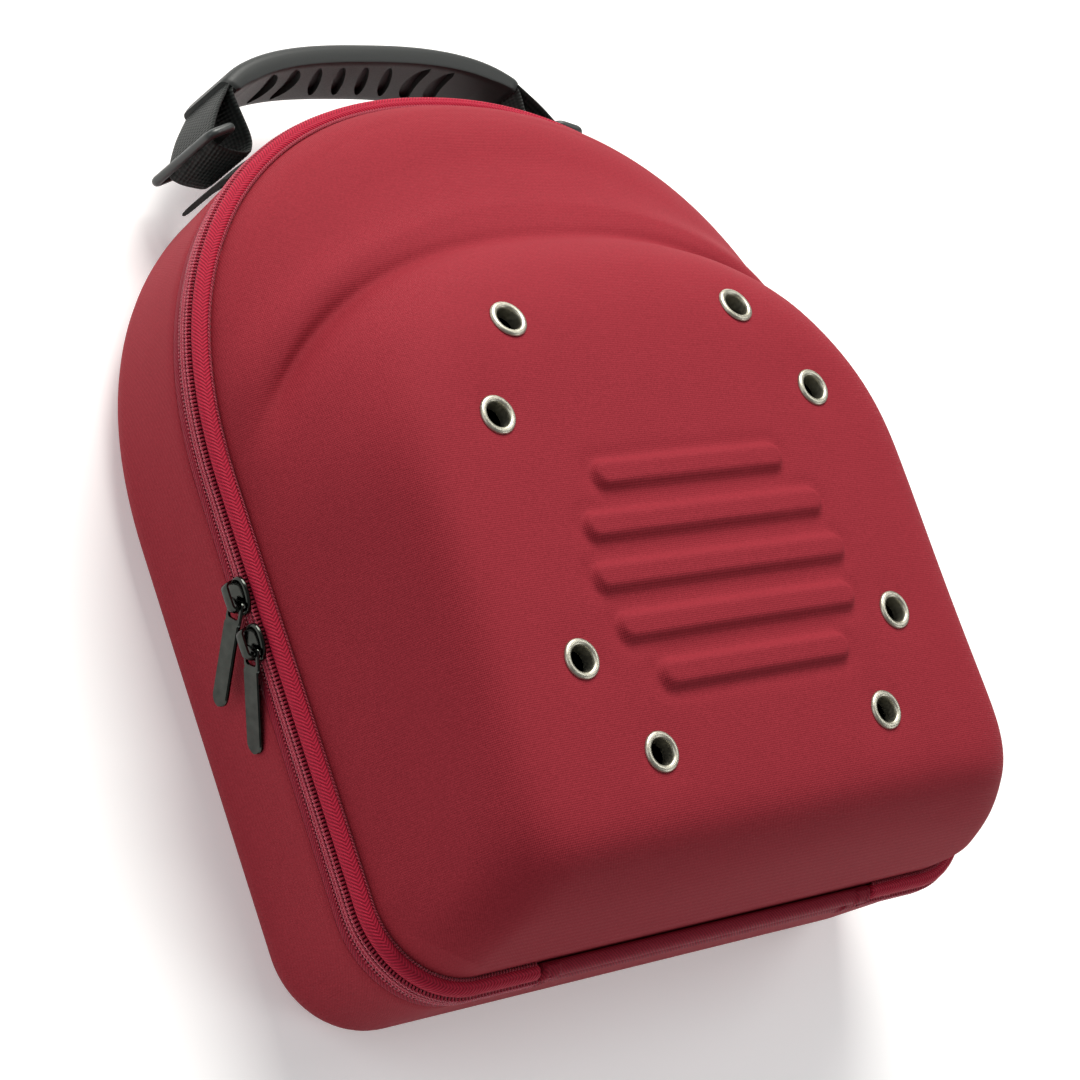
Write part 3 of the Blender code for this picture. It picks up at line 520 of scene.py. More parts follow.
def smooth_curve(points, spans, closed=False):
    """A Catmull-Rom curve through these points, with this many steps between two of them."""
    points = np.asarray(points, float)
    count = len(points)
    result = []
    for i in range(count if closed else count - 1):
        if closed:
            p0, p1, p2, p3 = (points[(i + k) % count] for k in (-1, 0, 1, 2))
        else:
            p0, p1, p2, p3 = (points[min(max(i + k, 0), count - 1)] for k in (-1, 0, 1, 2))
        square = 2 * p0 - 5 * p1 + 4 * p2 - p3
        cube = 3 * p1 - p0 - 3 * p2 + p3
        for step in range(spans):
            t = step / spans
            result.append(0.5 * (2 * p1 + (p2 - p0) * t + square * t**2 + cube * t**3))
    if not closed:
        result.append(points[-1])
    return np.array(result)


def round_tube(path, radii, sides):
    """Points and faces of a tube along a path, with a radius for each of the path's points."""
    along = unit(np.gradient(path, axis=0))
    guide = UP if abs(along[:, 2]).mean() < 0.8 else np.array((1.0, 0.0, 0.0))
    side = unit(np.cross(along, guide))
    up = np.cross(side, along)
    turn = circle(sides)
    ring = np.cos(turn)[None, :, None] * side[:, None] + np.sin(turn)[None, :, None] * up[:, None]
    points = path[:, None] + radii[:, None, None] * ring
    return points.reshape(-1, 3), grid_faces(len(path), sides, caps=True)


def copies(points, faces, frames):
    """Copies a small shape to many frames, given as their origins and their three axes."""
    origin, *axes = frames
    placed = origin[:, None]
    for k, axis in enumerate(axes):
        placed = placed + points[None, :, k, None] * axis[:, None]
    all_faces = []
    for start in np.arange(len(origin)) * len(points):
        all_faces += [[start + index for index in face] for face in faces]
    return placed.reshape(-1, 3), all_faces


def joined(*shapes):
    """Several shapes, each (points, faces), as one."""
    points = []
    faces = []
    for shape_points, shape_faces in shapes:
        start = sum(len(part) for part in points)
        points.append(np.asarray(shape_points).reshape(-1, 3))
        faces += [[start + index for index in face] for face in shape_faces]
    return np.concatenate(points), faces


def bead(length, width, height, sides=8):
    """A small pointed bead along the first axis."""
    rings = 5
    places = np.linspace(-0.5, 0.5, rings)
    size = np.sqrt(np.clip(1 - (1.85 * places) ** 2, 0.02, 1))
    turn = circle(sides)
    along = np.repeat(places[:, None] * length, sides, 1)
    across = size[:, None] * np.cos(turn) * width / 2
    up = size[:, None] * np.sin(turn) * height / 2
    return np.stack([along, across, up], axis=-1).reshape(-1, 3), grid_faces(rings, sides, caps=True)


# The case's outline


class Outline:
    """The outline at the seam, anticlockwise from the middle of the lower end, walked by its length."""

    def __init__(self):
        flat = HALF_WIDTH - CORNER
        right = [(x, BOTTOM) for x in np.linspace(0, flat, 60)]
        for turn in np.linspace(-math.pi / 2, 0, 60)[1:]:
            right.append((flat + CORNER * math.cos(turn), BOTTOM + CORNER * (1 + math.sin(turn))))
        right += [(HALF_WIDTH, y) for y in np.linspace(BOTTOM + CORNER, ARCH_START, 60)[1:]]
        for turn in np.linspace(0, math.pi / 2, 400)[1:]:
            across = max(math.cos(turn), 0) ** (2 / ARCH_SQUARENESS)
            along = math.sin(turn) ** (2 / ARCH_SQUARENESS)
            right.append((HALF_WIDTH * across, lerp(ARCH_START, TOP, along)))
        right = np.array(right)
        left = right[1:-1][::-1] * (-1, 1)
        self.points = np.concatenate([right, left, right[:1]])
        self.lengths = walked(self.points)
        self.total = self.lengths[-1]

    def place(self, length):
        """The place at this length, in X and Y."""
        length = np.mod(length, self.total)
        return np.stack([np.interp(length, self.lengths, self.points[:, k]) for k in (0, 1)], axis=-1)

    def inward(self, length):
        """The way inwards at this length, in X and Y."""
        step = 1.2 * MM
        along = unit(self.place(length + step) - self.place(length - step))
        return np.stack([-along[..., 1], along[..., 0]], axis=-1)

    def inward_in_space(self, lengths):
        """The level way inwards at these lengths, with its height coordinate 0."""
        return np.pad(self.inward(lengths), ((0, 0), (0, 1)))

    def space(self, length, inset, height):
        """Points at these lengths, moved inwards by the inset and up from the seam by the height."""
        length, inset, height = np.broadcast_arrays(length, inset, height)
        flat = self.place(length) + self.inward(length) * inset[..., None]
        return np.concatenate([flat, SEAM + height[..., None]], axis=-1)


outline = Outline()


def sweep(lengths, section, relief=0):
    """A skin along the outline: section lists (inset, height), and relief lifts it off its own face."""
    along = unit(np.roll(section, -1, 0) - np.roll(section, 1, 0))
    normal = np.stack([along[:, 1], -along[:, 0]], axis=1)
    centre = section.mean(0)
    if ((section - centre) * normal).sum() < 0:
        normal = -normal
    inset = section[None, :, 0] + normal[None, :, 0] * relief
    height = section[None, :, 1] + normal[None, :, 1] * relief
    return outline.space(lengths[:, None], inset, height)


def add_band(name, points, lengths, across, material, replaced, smooth_angle=60):
    """Adds a swept piece whose thread map says how far along and across it each point lies."""
    thread = np.stack(np.broadcast_arrays(lengths[:, None], across[None], 0 * across[None]), axis=-1)
    faces = grid_faces(*points.shape[:2], caps=True)
    add_piece(name, points, faces, [material], "case", "zip_cloth", replaced, smooth_angle, thread=thread)


def add_stitches(name, shapes, material, slot="zip_cloth"):
    """Adds many stitches, each (points, faces), as one piece."""
    add_piece(name, *joined(*shapes), [material], "case", slot, smooth_angle=80)


# The front shell's form

Foot = namedtuple("Foot", "half_width arch_start top bottom corner squareness")
CROWN_FOOT = Foot(130.1 * MM, BOTTOM + 140.3 * MM, BOTTOM + 261.3 * MM, BOTTOM + 2 * MM, 19 * MM, 2.15)
DOME_FOOT = Foot(
    HALF_WIDTH - PIPING_DEPTH - CLEARANCE,
    ARCH_START,
    TOP - PIPING_DEPTH - CLEARANCE,
    BOTTOM + PIPING_DEPTH + CLEARANCE,
    CORNER - PIPING_DEPTH - CLEARANCE,
    ARCH_SQUARENESS,
)

CREASE_FOOT = CROWN_FOOT._replace(top=CREASE_TOP, squareness=CREASE_SQUARENESS)

# The crown's corners grow rounder between its foot and this depth inside it.
CROWN_SHOULDER = CROWN_FOOT._replace(corner=27 * MM)
SHOULDER_EASE = 40 * MM
ROUND_SHARE = 0.33

# How the crown's wall leaves its foot on each side: its slope, and over what height it rounds into the top.
Wall = namedtuple("Wall", "slope rounding")
SIDE_WALL = Wall(3.22, 42.5 * MM)
TOP_WALL = Wall(1.33, 43.2 * MM)
BOTTOM_WALL = Wall(4.30, 55.5 * MM)
UPPER_CORNER_WALL = Wall(1.98, 52.9 * MM)
LOWER_CORNER_WALL = Wall(2.98, 47.7 * MM)


def smooth_max(a, b, blend):
    """The larger of two heights, blended where they are closer than the blend."""
    share = np.clip(0.5 + 0.5 * (a - b) / blend, 0, 1)
    return lerp(b, a, share) + blend * share * (1 - share)


def round_max(a, b, blend):
    """Like smooth_max, with the bend eased in and out more softly."""
    scale = ROUND_SHARE * blend
    return scale * np.logaddexp(a / scale, b / scale)


def reach(foot, across, along):
    """How far a foot's outline lies from its arch's middle in each direction."""
    across = np.abs(across)
    rise = foot.top - foot.arch_start
    power = foot.squareness
    up = np.maximum(along, 0)
    arch = ((across / foot.half_width) ** power + (up / rise) ** power + 1e-30) ** (-1 / power)
    drop = foot.arch_start - foot.bottom
    down = np.maximum(-along, 1e-9)
    straight = np.minimum(foot.half_width / np.maximum(across, 1e-9), drop / down)
    corner_x = foot.half_width - foot.corner
    corner_y = drop - foot.corner
    forward = across * corner_x + down * corner_y
    inside = np.maximum(forward**2 - corner_x**2 - corner_y**2 + foot.corner**2, 0)
    rounded = forward + np.sqrt(inside)
    plain = (straight * across <= corner_x) | (straight * down <= corner_y)
    return np.where(along >= 0, arch, np.where(plain, straight, rounded))


def depth_inside(foot, x, y):
    """How far inside a foot's outline a place lies, towards the arch's middle."""
    dy = y - foot.arch_start
    radius = np.maximum(np.hypot(x, dy), 1e-6)
    return reach(foot, x / radius, dy / radius) - radius


def crown_wall(x, y):
    """The crown wall's slope and rounding, blended round the arch's middle."""
    dy = y - CROWN_FOOT.arch_start
    upright = dy**2 / np.maximum(x**2 + dy**2, 1e-12)
    diagonal = 4 * upright * (1 - upright)
    parts = []
    for kind in ("slope", "rounding"):
        side = getattr(SIDE_WALL, kind)
        end = np.where(dy > 0, getattr(TOP_WALL, kind), getattr(BOTTOM_WALL, kind))
        corner = np.where(dy > 0, getattr(UPPER_CORNER_WALL, kind), getattr(LOWER_CORNER_WALL, kind))
        parts.append(lerp(side, end, upright) + (corner - (side + end) / 2) * diagonal)
    return parts


def front_height(x, y):
    """Height of the front shell's plain outer face."""
    share = np.clip(np.maximum(depth_inside(DOME_FOOT, x, y), 0) / DOME_EDGE, 0, 1)
    edge = np.sqrt(np.maximum(1 - (1 - share) ** 2, 0))
    inside_crown = depth_inside(CROWN_FOOT, x, y)
    rounder = depth_inside(CROWN_SHOULDER, x, y)
    inside_crown = lerp(inside_crown, rounder, smoothstep(inside_crown / SHOULDER_EASE))
    valley = VALLEY_DEPTH * bump_shape((inside_crown + VALLEY_OFFSET) / VALLEY_WIDTH)
    dome = edge * (DOME_RISE + DOME_TILT * (TOP - y) - valley)
    swell = CROWN_SWELL * (0.5 * x**2 + (y - EYELET_MIDDLE) ** 2)
    slope, rounding = crown_wall(x, y)
    crown = -round_max(-slope * inside_crown, swell - CROWN_RISE, rounding)
    return EDGE_LEVEL + np.maximum(smooth_max(dome, crown, VALLEY_BLEND), 0)


# The easing takes a weighted mean of the face at a place and on two rings round it.
MIDDLE_WEIGHT = 0.2
RING_WEIGHTS = ((0.5 * FORM_EASE, 0.44), (FORM_EASE, 0.36))


def soft_height(x, y):
    """The plain outer face with its bends eased, as cloth over foam takes them, away from the edge."""
    plain = front_height(x, y)
    sides = 8
    height = MIDDLE_WEIGHT * plain
    for radius, weight in RING_WEIGHTS:
        for turn in circle(sides):
            near = front_height(x + radius * math.cos(turn), y + radius * math.sin(turn))
            height += weight / sides * near
    share = smoothstep((depth_inside(DOME_FOOT, x, y) - 2 * MM) / (1.3 * FORM_EASE))
    return lerp(plain, np.minimum(plain, height), share)


def eyelet_places():
    """The eyelets' middles, the left column first."""
    return [(side * out, EYELET_MIDDLE + row) for side in (-1, 1) for row, out in EYELET_ROWS]


def crease(x, y):
    """The crease round the crown's top, with a soft lip outside it and a soft shoulder inside."""
    inside = depth_inside(CREASE_FOOT, x, y)
    to_side = np.clip(np.abs(x) / CREASE_SPREAD, 0, 1) ** 2
    strength = smoothstep((y - CREASE_END) / CREASE_FADE) * lerp(CREASE_AT_MIDDLE, 1, to_side)
    groove = CREASE_DEPTH * bump_shape(inside / CREASE_WIDTH)
    lip = LIP_RISE * bump_shape((inside + LIP_AWAY) / LIP_WIDTH)
    shoulder = SHOULDER_RISE * bump_shape((inside - SHOULDER_AWAY) / SHOULDER_WIDTH)
    return strength * (lip + shoulder - groove)


def front_relief(x, y):
    """What is pressed into the front face: the crease, a dimple round each eyelet and the raised ribs."""
    relief = crease(x, y)
    for eyelet_x, eyelet_y in eyelet_places():
        away = np.hypot(x - eyelet_x, y - eyelet_y)
        relief -= DIMPLE_DEPTH * bump_shape(away / DIMPLE_RADIUS)
    for number in range(RIB_COUNT):
        offset = (number - (RIB_COUNT - 1) / 2) * RIB_PITCH
        half = RIB_HALF_LENGTH * math.sqrt(1 - (offset / RIB_PANEL_HALF_HEIGHT) ** 2) - RIB_HALF_WIDTH
        beyond = np.maximum(np.abs(x) - half, 0)
        away = np.hypot(beyond, y - RIB_MIDDLE - offset)
        relief += RIB_RISE * smoothstep((RIB_HALF_WIDTH + RIB_SOFT / 2 - away) / RIB_SOFT)
        relief -= RIB_DITCH * bump_shape((away - RIB_HALF_WIDTH - RIB_SOFT) / RIB_SOFT)
    return relief


def face_frame(x, y):
    """A frame on the plain front face: its origin on the face and its third axis square to it."""
    step = 2 * MM
    slope_x = (soft_height(x + step, y) - soft_height(x - step, y)) / (2 * step)
    slope_y = (soft_height(x, y + step) - soft_height(x, y - step)) / (2 * step)
    normal = Vector((-float(slope_x), -float(slope_y), 1)).normalized()
    matrix = normal.to_track_quat("Z", "Y").to_matrix().to_4x4()
    matrix.translation = Vector((x, y, float(soft_height(x, y))))
    return matrix


def turned(profile, sides, matrix, closed=True):
    """Points and faces of a turned shape whose profile lists (radius, height)."""
    turn = circle(sides)
    profile = np.asarray(profile, float)
    radius = profile[:, :1]
    height = np.repeat(profile[:, 1:], sides, 1)
    local = np.stack([radius * np.cos(turn), radius * np.sin(turn), height], axis=-1).reshape(-1, 3)
    place = np.array(matrix)
    points = local @ place[:3, :3].T + place[:3, 3]
    return points, grid_faces(len(profile), sides, wrap_rows=closed, caps=not closed)


# Pieces


def front_cloth(cloth, inside):
    """The front shell: outer cloth with its relief, the lip at the zip, and the lined inside."""
    columns = 500
    rings = 170
    lengths = np.arange(columns) / columns * outline.total
    edge = outline.place(lengths) + outline.inward(lengths) * (PIPING_DEPTH + CLEARANCE)
    middle = np.array((0.0, ARCH_START))
    shares = (np.arange(rings) / rings) ** 1.35
    flat = edge[None] + (middle - edge)[None] * shares[:, None, None]
    x, y = flat[..., 0], flat[..., 1]
    height = soft_height(x, y) + front_relief(x, y)
    outer = np.stack([x, y, height], axis=-1)
    plain = np.stack([x, y, front_height(x, y)], axis=-1)
    along = np.roll(plain, -1, 1) - np.roll(plain, 1, 1)
    inwards = np.gradient(plain, axis=0)
    normal = unit(np.cross(along, inwards))
    normal *= np.sign(normal[..., 2:3].mean())
    lip_height = SEAM + CHAIN_HALF + 4 * CLEARANCE
    lip = np.concatenate([edge, np.full((columns, 1), lip_height)], axis=1)
    inner_edge = outline.place(lengths) + outline.inward(lengths) * (PIPING_DEPTH + CLEARANCE + WALL)
    inner_lip = np.concatenate([inner_edge, np.full((columns, 1), lip_height)], axis=1)
    # The inside follows only these rings of the outside, closer together near the edge.
    chosen = [15, 23, 32, 45, *range(60, 151, 15), rings - 1]
    inner = outer[chosen] - normal[chosen] * WALL
    rows = np.concatenate([inner[::-1], inner_lip[None], lip[None], outer])
    faces = grid_faces(len(rows), columns)
    indices = [1] * (columns * len(chosen)) + [0] * (len(faces) - columns * len(chosen))
    points = rows.reshape(-1, 3)
    top = len(points)
    peak_height = float(soft_height(*middle))
    peak = np.array([[*middle, peak_height], [*middle, peak_height - WALL]])
    points = np.concatenate([points, peak])
    last = (len(rows) - 1) * columns
    faces += [[last + k, last + (k + 1) % columns, top] for k in range(columns)]
    faces += [[(k + 1) % columns, k, top + 1] for k in range(columns)]
    indices += [0] * columns + [1] * columns
    sides = [cloth, inside]
    angle = 75
    piece = add_piece(
        "front_cloth", points, faces, sides, "case", "shell_fabric", ["front_shell"], angle, indices=indices
    )
    bore = EYELET_HOLE + 0.55 * MM
    cutters = []
    for place in eyelet_places():
        cutters.append(turned([(bore, -3 * WALL), (bore, 2 * WALL)], 32, face_frame(*place), closed=False))
    cut(piece, cutters, angle)


def back_cloth(cloth, inside):
    """The back shell: a deep tray with leaning walls, a rounded edge and a flat back."""
    columns = 460
    lengths = np.arange(columns) / columns * outline.total
    rim = tape_low[2] - 0.1 * MM
    taper = math.tan(math.radians(BACK_DRAFT))
    straight = BACK_EDGE * (1 - math.sin(math.radians(BACK_DRAFT)))
    side = taper * (rim - straight)
    sunk = BACK_EDGE * math.cos(math.radians(BACK_DRAFT))
    profile = [(0.9 * MM, rim), (0.25 * MM, rim - 0.25 * MM), (0, rim - 0.9 * MM)]
    for share in (0.15, 0.4, 0.7, 1.0):
        height = lerp(rim, straight, share)
        profile.append((taper * (rim - height), height))
    for angle in np.linspace(0, 90, 13)[1:]:
        turn = math.radians(angle)
        profile.append((side + sunk * (1 - math.cos(turn)), straight * (1 - math.sin(turn))))
    outer = [outline.space(lengths, inset, height - SEAM) for inset, height in profile]
    middle = np.array((0.0, 0.0, 0.0))
    flat_edge = outer[-1]
    outer += [lerp(flat_edge, middle, share) for share in (0.03, 0.3, 0.6, 0.9)]
    inner_profile = [(WALL, rim)]
    for share in (0.5, 1.0):
        height = lerp(rim, straight, share)
        inner_profile.append((WALL + taper * (rim - height), height))
    for angle in np.linspace(0, 90, 7)[1:]:
        turn = math.radians(angle)
        inset = WALL + side + (sunk - WALL) * (1 - math.cos(turn))
        inner_profile.append((inset, lerp(straight, WALL, math.sin(turn))))
    inner = [outline.space(lengths, inset, height - SEAM) for inset, height in inner_profile]
    floor = np.array((0.0, 0.0, WALL))
    inner += [lerp(inner[-1], floor, share) for share in (0.4, 0.8)]
    rows = np.array(inner[::-1] + outer)
    faces = grid_faces(len(rows), columns)
    indices = [1] * (columns * (len(inner) - 1)) + [0] * (len(faces) - columns * (len(inner) - 1))
    last = (len(rows) - 1) * columns
    faces.append(list(range(last, last + columns)))
    faces.append(list(range(columns))[::-1])
    indices += [0, 1]
    sides = [cloth, inside]
    add_piece("back_cloth", rows, faces, sides, "case", "shell_fabric", ["back_shell"], indices=indices)


def zip_lengths(step, inset=0.0):
    """Lengths along the part of the outline that opens, about a step apart."""
    start = HINGE_HALF + inset
    end = outline.total - HINGE_HALF - inset
    return np.linspace(start, end, int((end - start) / step))


# Sections of the zip's parts, as (inset, height over the seam) in millimetres, once round.
PIPING_SECTION = (
    (0.55, 3.45), (-0.30, 4.15), (-0.50, 5.20), (-0.10, 6.35), (0.85, 7.25), (2.10, 7.75),
    (3.30, 7.65), (4.10, 6.95), (4.25, 5.40), (4.10, 3.60), (2.30, 3.45),
)
BED_SECTION = ((0.35, -3.35), (0.55, -1.0), (0.7, 0.0), (0.55, 1.0), (0.35, 3.4), (1.5, 3.4), (1.5, -3.35))
TAPE_LOW = (tape_low[2] - SEAM) / MM
TAPE_HIGH = (tape_high[2] - SEAM) / MM
TAPE_SECTION = (
    (0.25, TAPE_LOW + 0.05), (-0.15, TAPE_LOW + 0.5), (-0.25, TAPE_LOW + 1.7), (-0.15, TAPE_HIGH - 0.5),
    (0.35, TAPE_HIGH - 0.05), (1.6, TAPE_HIGH), (1.6, TAPE_LOW),
)
HINGE_SECTION = (
    (0.3, TAPE_LOW + 0.05), (-0.1, TAPE_LOW + 0.6), (-0.55, TAPE_LOW + 2.6), (-0.20, -1.4), (0.75, 0.3),
    (0.10, 2.2), (-0.55, 4.1), (-0.35, 5.9), (0.7, 7.15), (2.2, 7.7), (3.5, 7.55), (4.2, 6.5), (4.1, 3.6),
    (2.0, 1.5), (2.0, TAPE_LOW + 0.1),
)


def piping(tape):
    """The rounded woven band at the front shell's edge: two rows of slanted ribs that meet in a V."""
    section = smooth_curve(np.array(PIPING_SECTION) * MM, 4, closed=True)
    lengths = zip_lengths(0.8 * MM, 0.3 * MM)
    across = walked(section)
    from_middle = np.abs(across - across[np.argmin(np.abs(across - 5.4 * MM))])
    relief = -0.22 * MM * bump_shape(from_middle / (0.5 * MM))[None]
    ends = np.minimum(lengths - lengths[0], lengths[-1] - lengths)
    shrink = np.sqrt(np.clip(1 - (1 - np.clip(ends / (2.2 * MM), 0, 1)) ** 2, 0.03, 1))
    points = sweep(lengths, section, relief)
    core = outline.space(lengths[:, None], *section.mean(0))
    points = core + (points - core) * shrink[:, None, None]
    add_band("piping", points, lengths, from_middle, tape, ["zip_piping"])


def edge_stitches(thread_material):
    """The overcast edge where the band is sewn to the front shell: short slanted stitches, close together."""
    lengths = zip_lengths(1.2 * MM, 2.5 * MM)
    inset = 4.15 * MM
    height = 7.45 * MM
    origin = outline.space(lengths, inset, height)
    ahead = unit(outline.space(lengths + 0.5 * MM, inset, height) - origin)
    inward = outline.inward_in_space(lengths)
    # The stitches lie over the band's inner shoulder, which falls away inwards.
    across = 0.8 * inward - 0.6 * UP
    slanted = unit(ahead * 0.62 + across * 0.78)
    third = 0.6 * inward + 0.8 * UP
    stitch = bead(2.0 * MM, 0.85 * MM, 0.8 * MM, 6)
    rows = copies(*stitch, (origin, slanted, np.cross(third, slanted), third))
    add_stitches("edge_stitches", [rows], thread_material)


def back_tape(tape):
    """The narrow strip of tape on the back shell's side of the zip."""
    section = smooth_curve(np.array(TAPE_SECTION) * MM, 2, closed=True)
    lengths = zip_lengths(1.2 * MM, 0.3 * MM)
    points = sweep(lengths, section)
    add_band("back_tape", points, lengths, walked(section), tape, ["zip_tape_back"])


def chain_frames(lengths):
    """Frames on the zip: out of the case, along the chain and up across it, from the seam's middle plane."""
    origin = outline.space(lengths, 0.0, 0.0)
    step = 0.4 * MM
    ahead = unit(outline.space(lengths + step, 0.0, 0.0) - outline.space(lengths - step, 0.0, 0.0))
    out = -outline.inward_in_space(lengths)
    return origin, out, ahead, np.broadcast_to(UP, origin.shape)


def coil_teeth(nylon):
    """Two rows of coil teeth that mesh at the chain's middle."""
    shapes = []
    for side in (1, -1):
        path = np.array(
            (
                (-0.35, -0.12, 2.95 * side),
                (0.35, -0.08, 2.75 * side),
                (0.72, 0.0, 1.7 * side),
                (0.80, 0.0, 0.6 * side),
                (0.55, 0.0, -0.35 * side),
                (-0.10, 0.0, -0.55 * side),
            )
        )
        radii = np.array((0.9, 1.0, 1.0, 1.05, 1.25, 0.9)) * TOOTH_WIRE
        template = round_tube(path * MM, radii, 6)
        lengths = zip_lengths(TOOTH_PITCH, 0.9 * MM) + (0.5 * TOOTH_PITCH if side > 0 else 0)
        shapes.append(copies(*template, chain_frames(lengths)))
    add_piece("coil_teeth", *joined(*shapes), [nylon], "case", "zip_cloth", ["zip_chain"], 80)


def chain_stitches(thread_material):
    """The sewing that holds each coil to its tape: rows of beads along the chain."""
    shapes = []
    # Each row's height over the seam in millimetres, and its shift as a share of the teeth's pitch.
    for place, shift in ((0.72, 0.0), (-0.72, 0.5), (2.15, 0.5)):
        lengths = zip_lengths(TOOTH_PITCH, 0.9 * MM) + shift * TOOTH_PITCH
        origin, out, ahead, up = chain_frames(lengths)
        origin = origin + out * 0.95 * MM + up * place * MM
        slanted = unit(0.93 * ahead + math.copysign(0.36, place) * up)
        stitch = bead(1.45 * MM, 1.05 * MM, 0.9 * MM, 6)
        shapes.append(copies(*stitch, (origin, slanted, np.cross(out, slanted), out)))
    add_stitches("chain_stitches", shapes, thread_material)


def chain_bed(tape):
    """The tapes' meeting edges under the teeth, in a darker tape that paints the shade between the teeth."""
    section = np.array(BED_SECTION) * MM
    lengths = zip_lengths(1.2 * MM, 0.3 * MM)
    add_band("chain_bed", sweep(lengths, section), lengths, walked(section), tape, (), 30)


def hinge_cloth(tape, thread_material):
    """The folded cloth hinge at the lower end, with a tucked tab at each end and a row of stitches."""
    section = smooth_curve(np.array(HINGE_SECTION) * MM, 3, closed=True)
    reach_x = HINGE_HALF - CLEARANCE
    lengths = np.linspace(-reach_x, reach_x, 320)
    across = walked(section)
    from_end = reach_x - np.abs(lengths)
    tab = 7 * MM
    folded = smoothstep((tab - from_end) / (1.2 * MM))
    tucked = 1 - smoothstep(from_end / (0.7 * MM))
    groove = bump_shape((section[:, 1] - 0.2 * MM) / (2.2 * MM))
    # The cloth puckers along its fold about every 19 mm, and the spacing drifts over 150 mm.
    drift = 6 * np.sin(lengths[:, None] * 41)
    puckers = np.sin(lengths[:, None] * 330 + drift) * groove[None] * 0.22 * MM
    stitch_dip = bump_shape((from_end - STITCH_FROM_END) / (0.45 * MM)) * 0.25 * MM
    relief = folded[:, None] * (0.55 * MM + 0.7 * MM * groove[None]) - tucked[:, None] * 0.5 * MM
    relief = relief + puckers * (1 - folded[:, None]) - stitch_dip[:, None]
    visible = (section[:, 0] < 3.9 * MM) & (across < 17.5 * MM)
    relief = np.where(visible[None], relief, 0)
    points = sweep(lengths, section, relief)
    add_band("hinge_cloth", points, lengths, across, tape, ["hinge_strip"])
    up = UP[None]
    out = np.array([[0.0, -1.0, 0.0]])
    stitch = bead(1.5 * MM, 0.45 * MM, 0.45 * MM)
    stitches = []
    for end in (-1, 1):
        length = np.array([end * (reach_x - STITCH_FROM_END)])
        for height in np.arange(TAPE_LOW + 1.2, 7.0, 1.9):
            # The section's first points are its outer face, from its lower edge up.
            nearest = int(np.argmin(np.abs(section[:22, 1] - height * MM)))
            origin = outline.space(length, section[nearest, 0] - 0.5 * MM, height * MM)
            stitches.append(copies(*stitch, (origin, up, np.cross(out, up), out)))
    add_stitches("hinge_stitches", stitches, thread_material)


def eyelets(nickel):
    """Rolled eyelets: a rounded rim on the cloth, a barrel through the wall and a flange behind it."""
    middle = lerp(EYELET_HOLE, EYELET_RADIUS, 0.5)
    rim = [(EYELET_RADIUS, 0.02 * MM)]
    for angle in np.linspace(160, 20, 8):
        turn = math.radians(angle)
        rim.append((middle - 1.12 * MM * math.cos(turn), 0.15 * MM + 0.85 * MM * math.sin(turn)))
    behind = -WALL - 0.1 * MM
    barrel = EYELET_HOLE + 0.4 * MM
    profile = rim + [
        (EYELET_HOLE, -0.5 * MM),
        (EYELET_HOLE, behind - 0.6 * MM),
        (middle, behind - 0.75 * MM),
        (EYELET_RADIUS, behind - 0.35 * MM),
        (EYELET_RADIUS, behind),
        (barrel, behind),
        (barrel, -0.15 * MM),
        (EYELET_RADIUS - 0.3 * MM, -0.12 * MM),
    ]
    for number, place in enumerate(eyelet_places(), 1):
        matrix = face_frame(*place) @ Matrix.Translation((0, 0, -EYELET_SUNK))
        ring = turned(profile, 48, matrix)
        add_piece(f"eyelet_ring_{number}", *ring, [nickel], "case", "nickel", [f"eyelet_{number}"], 60)


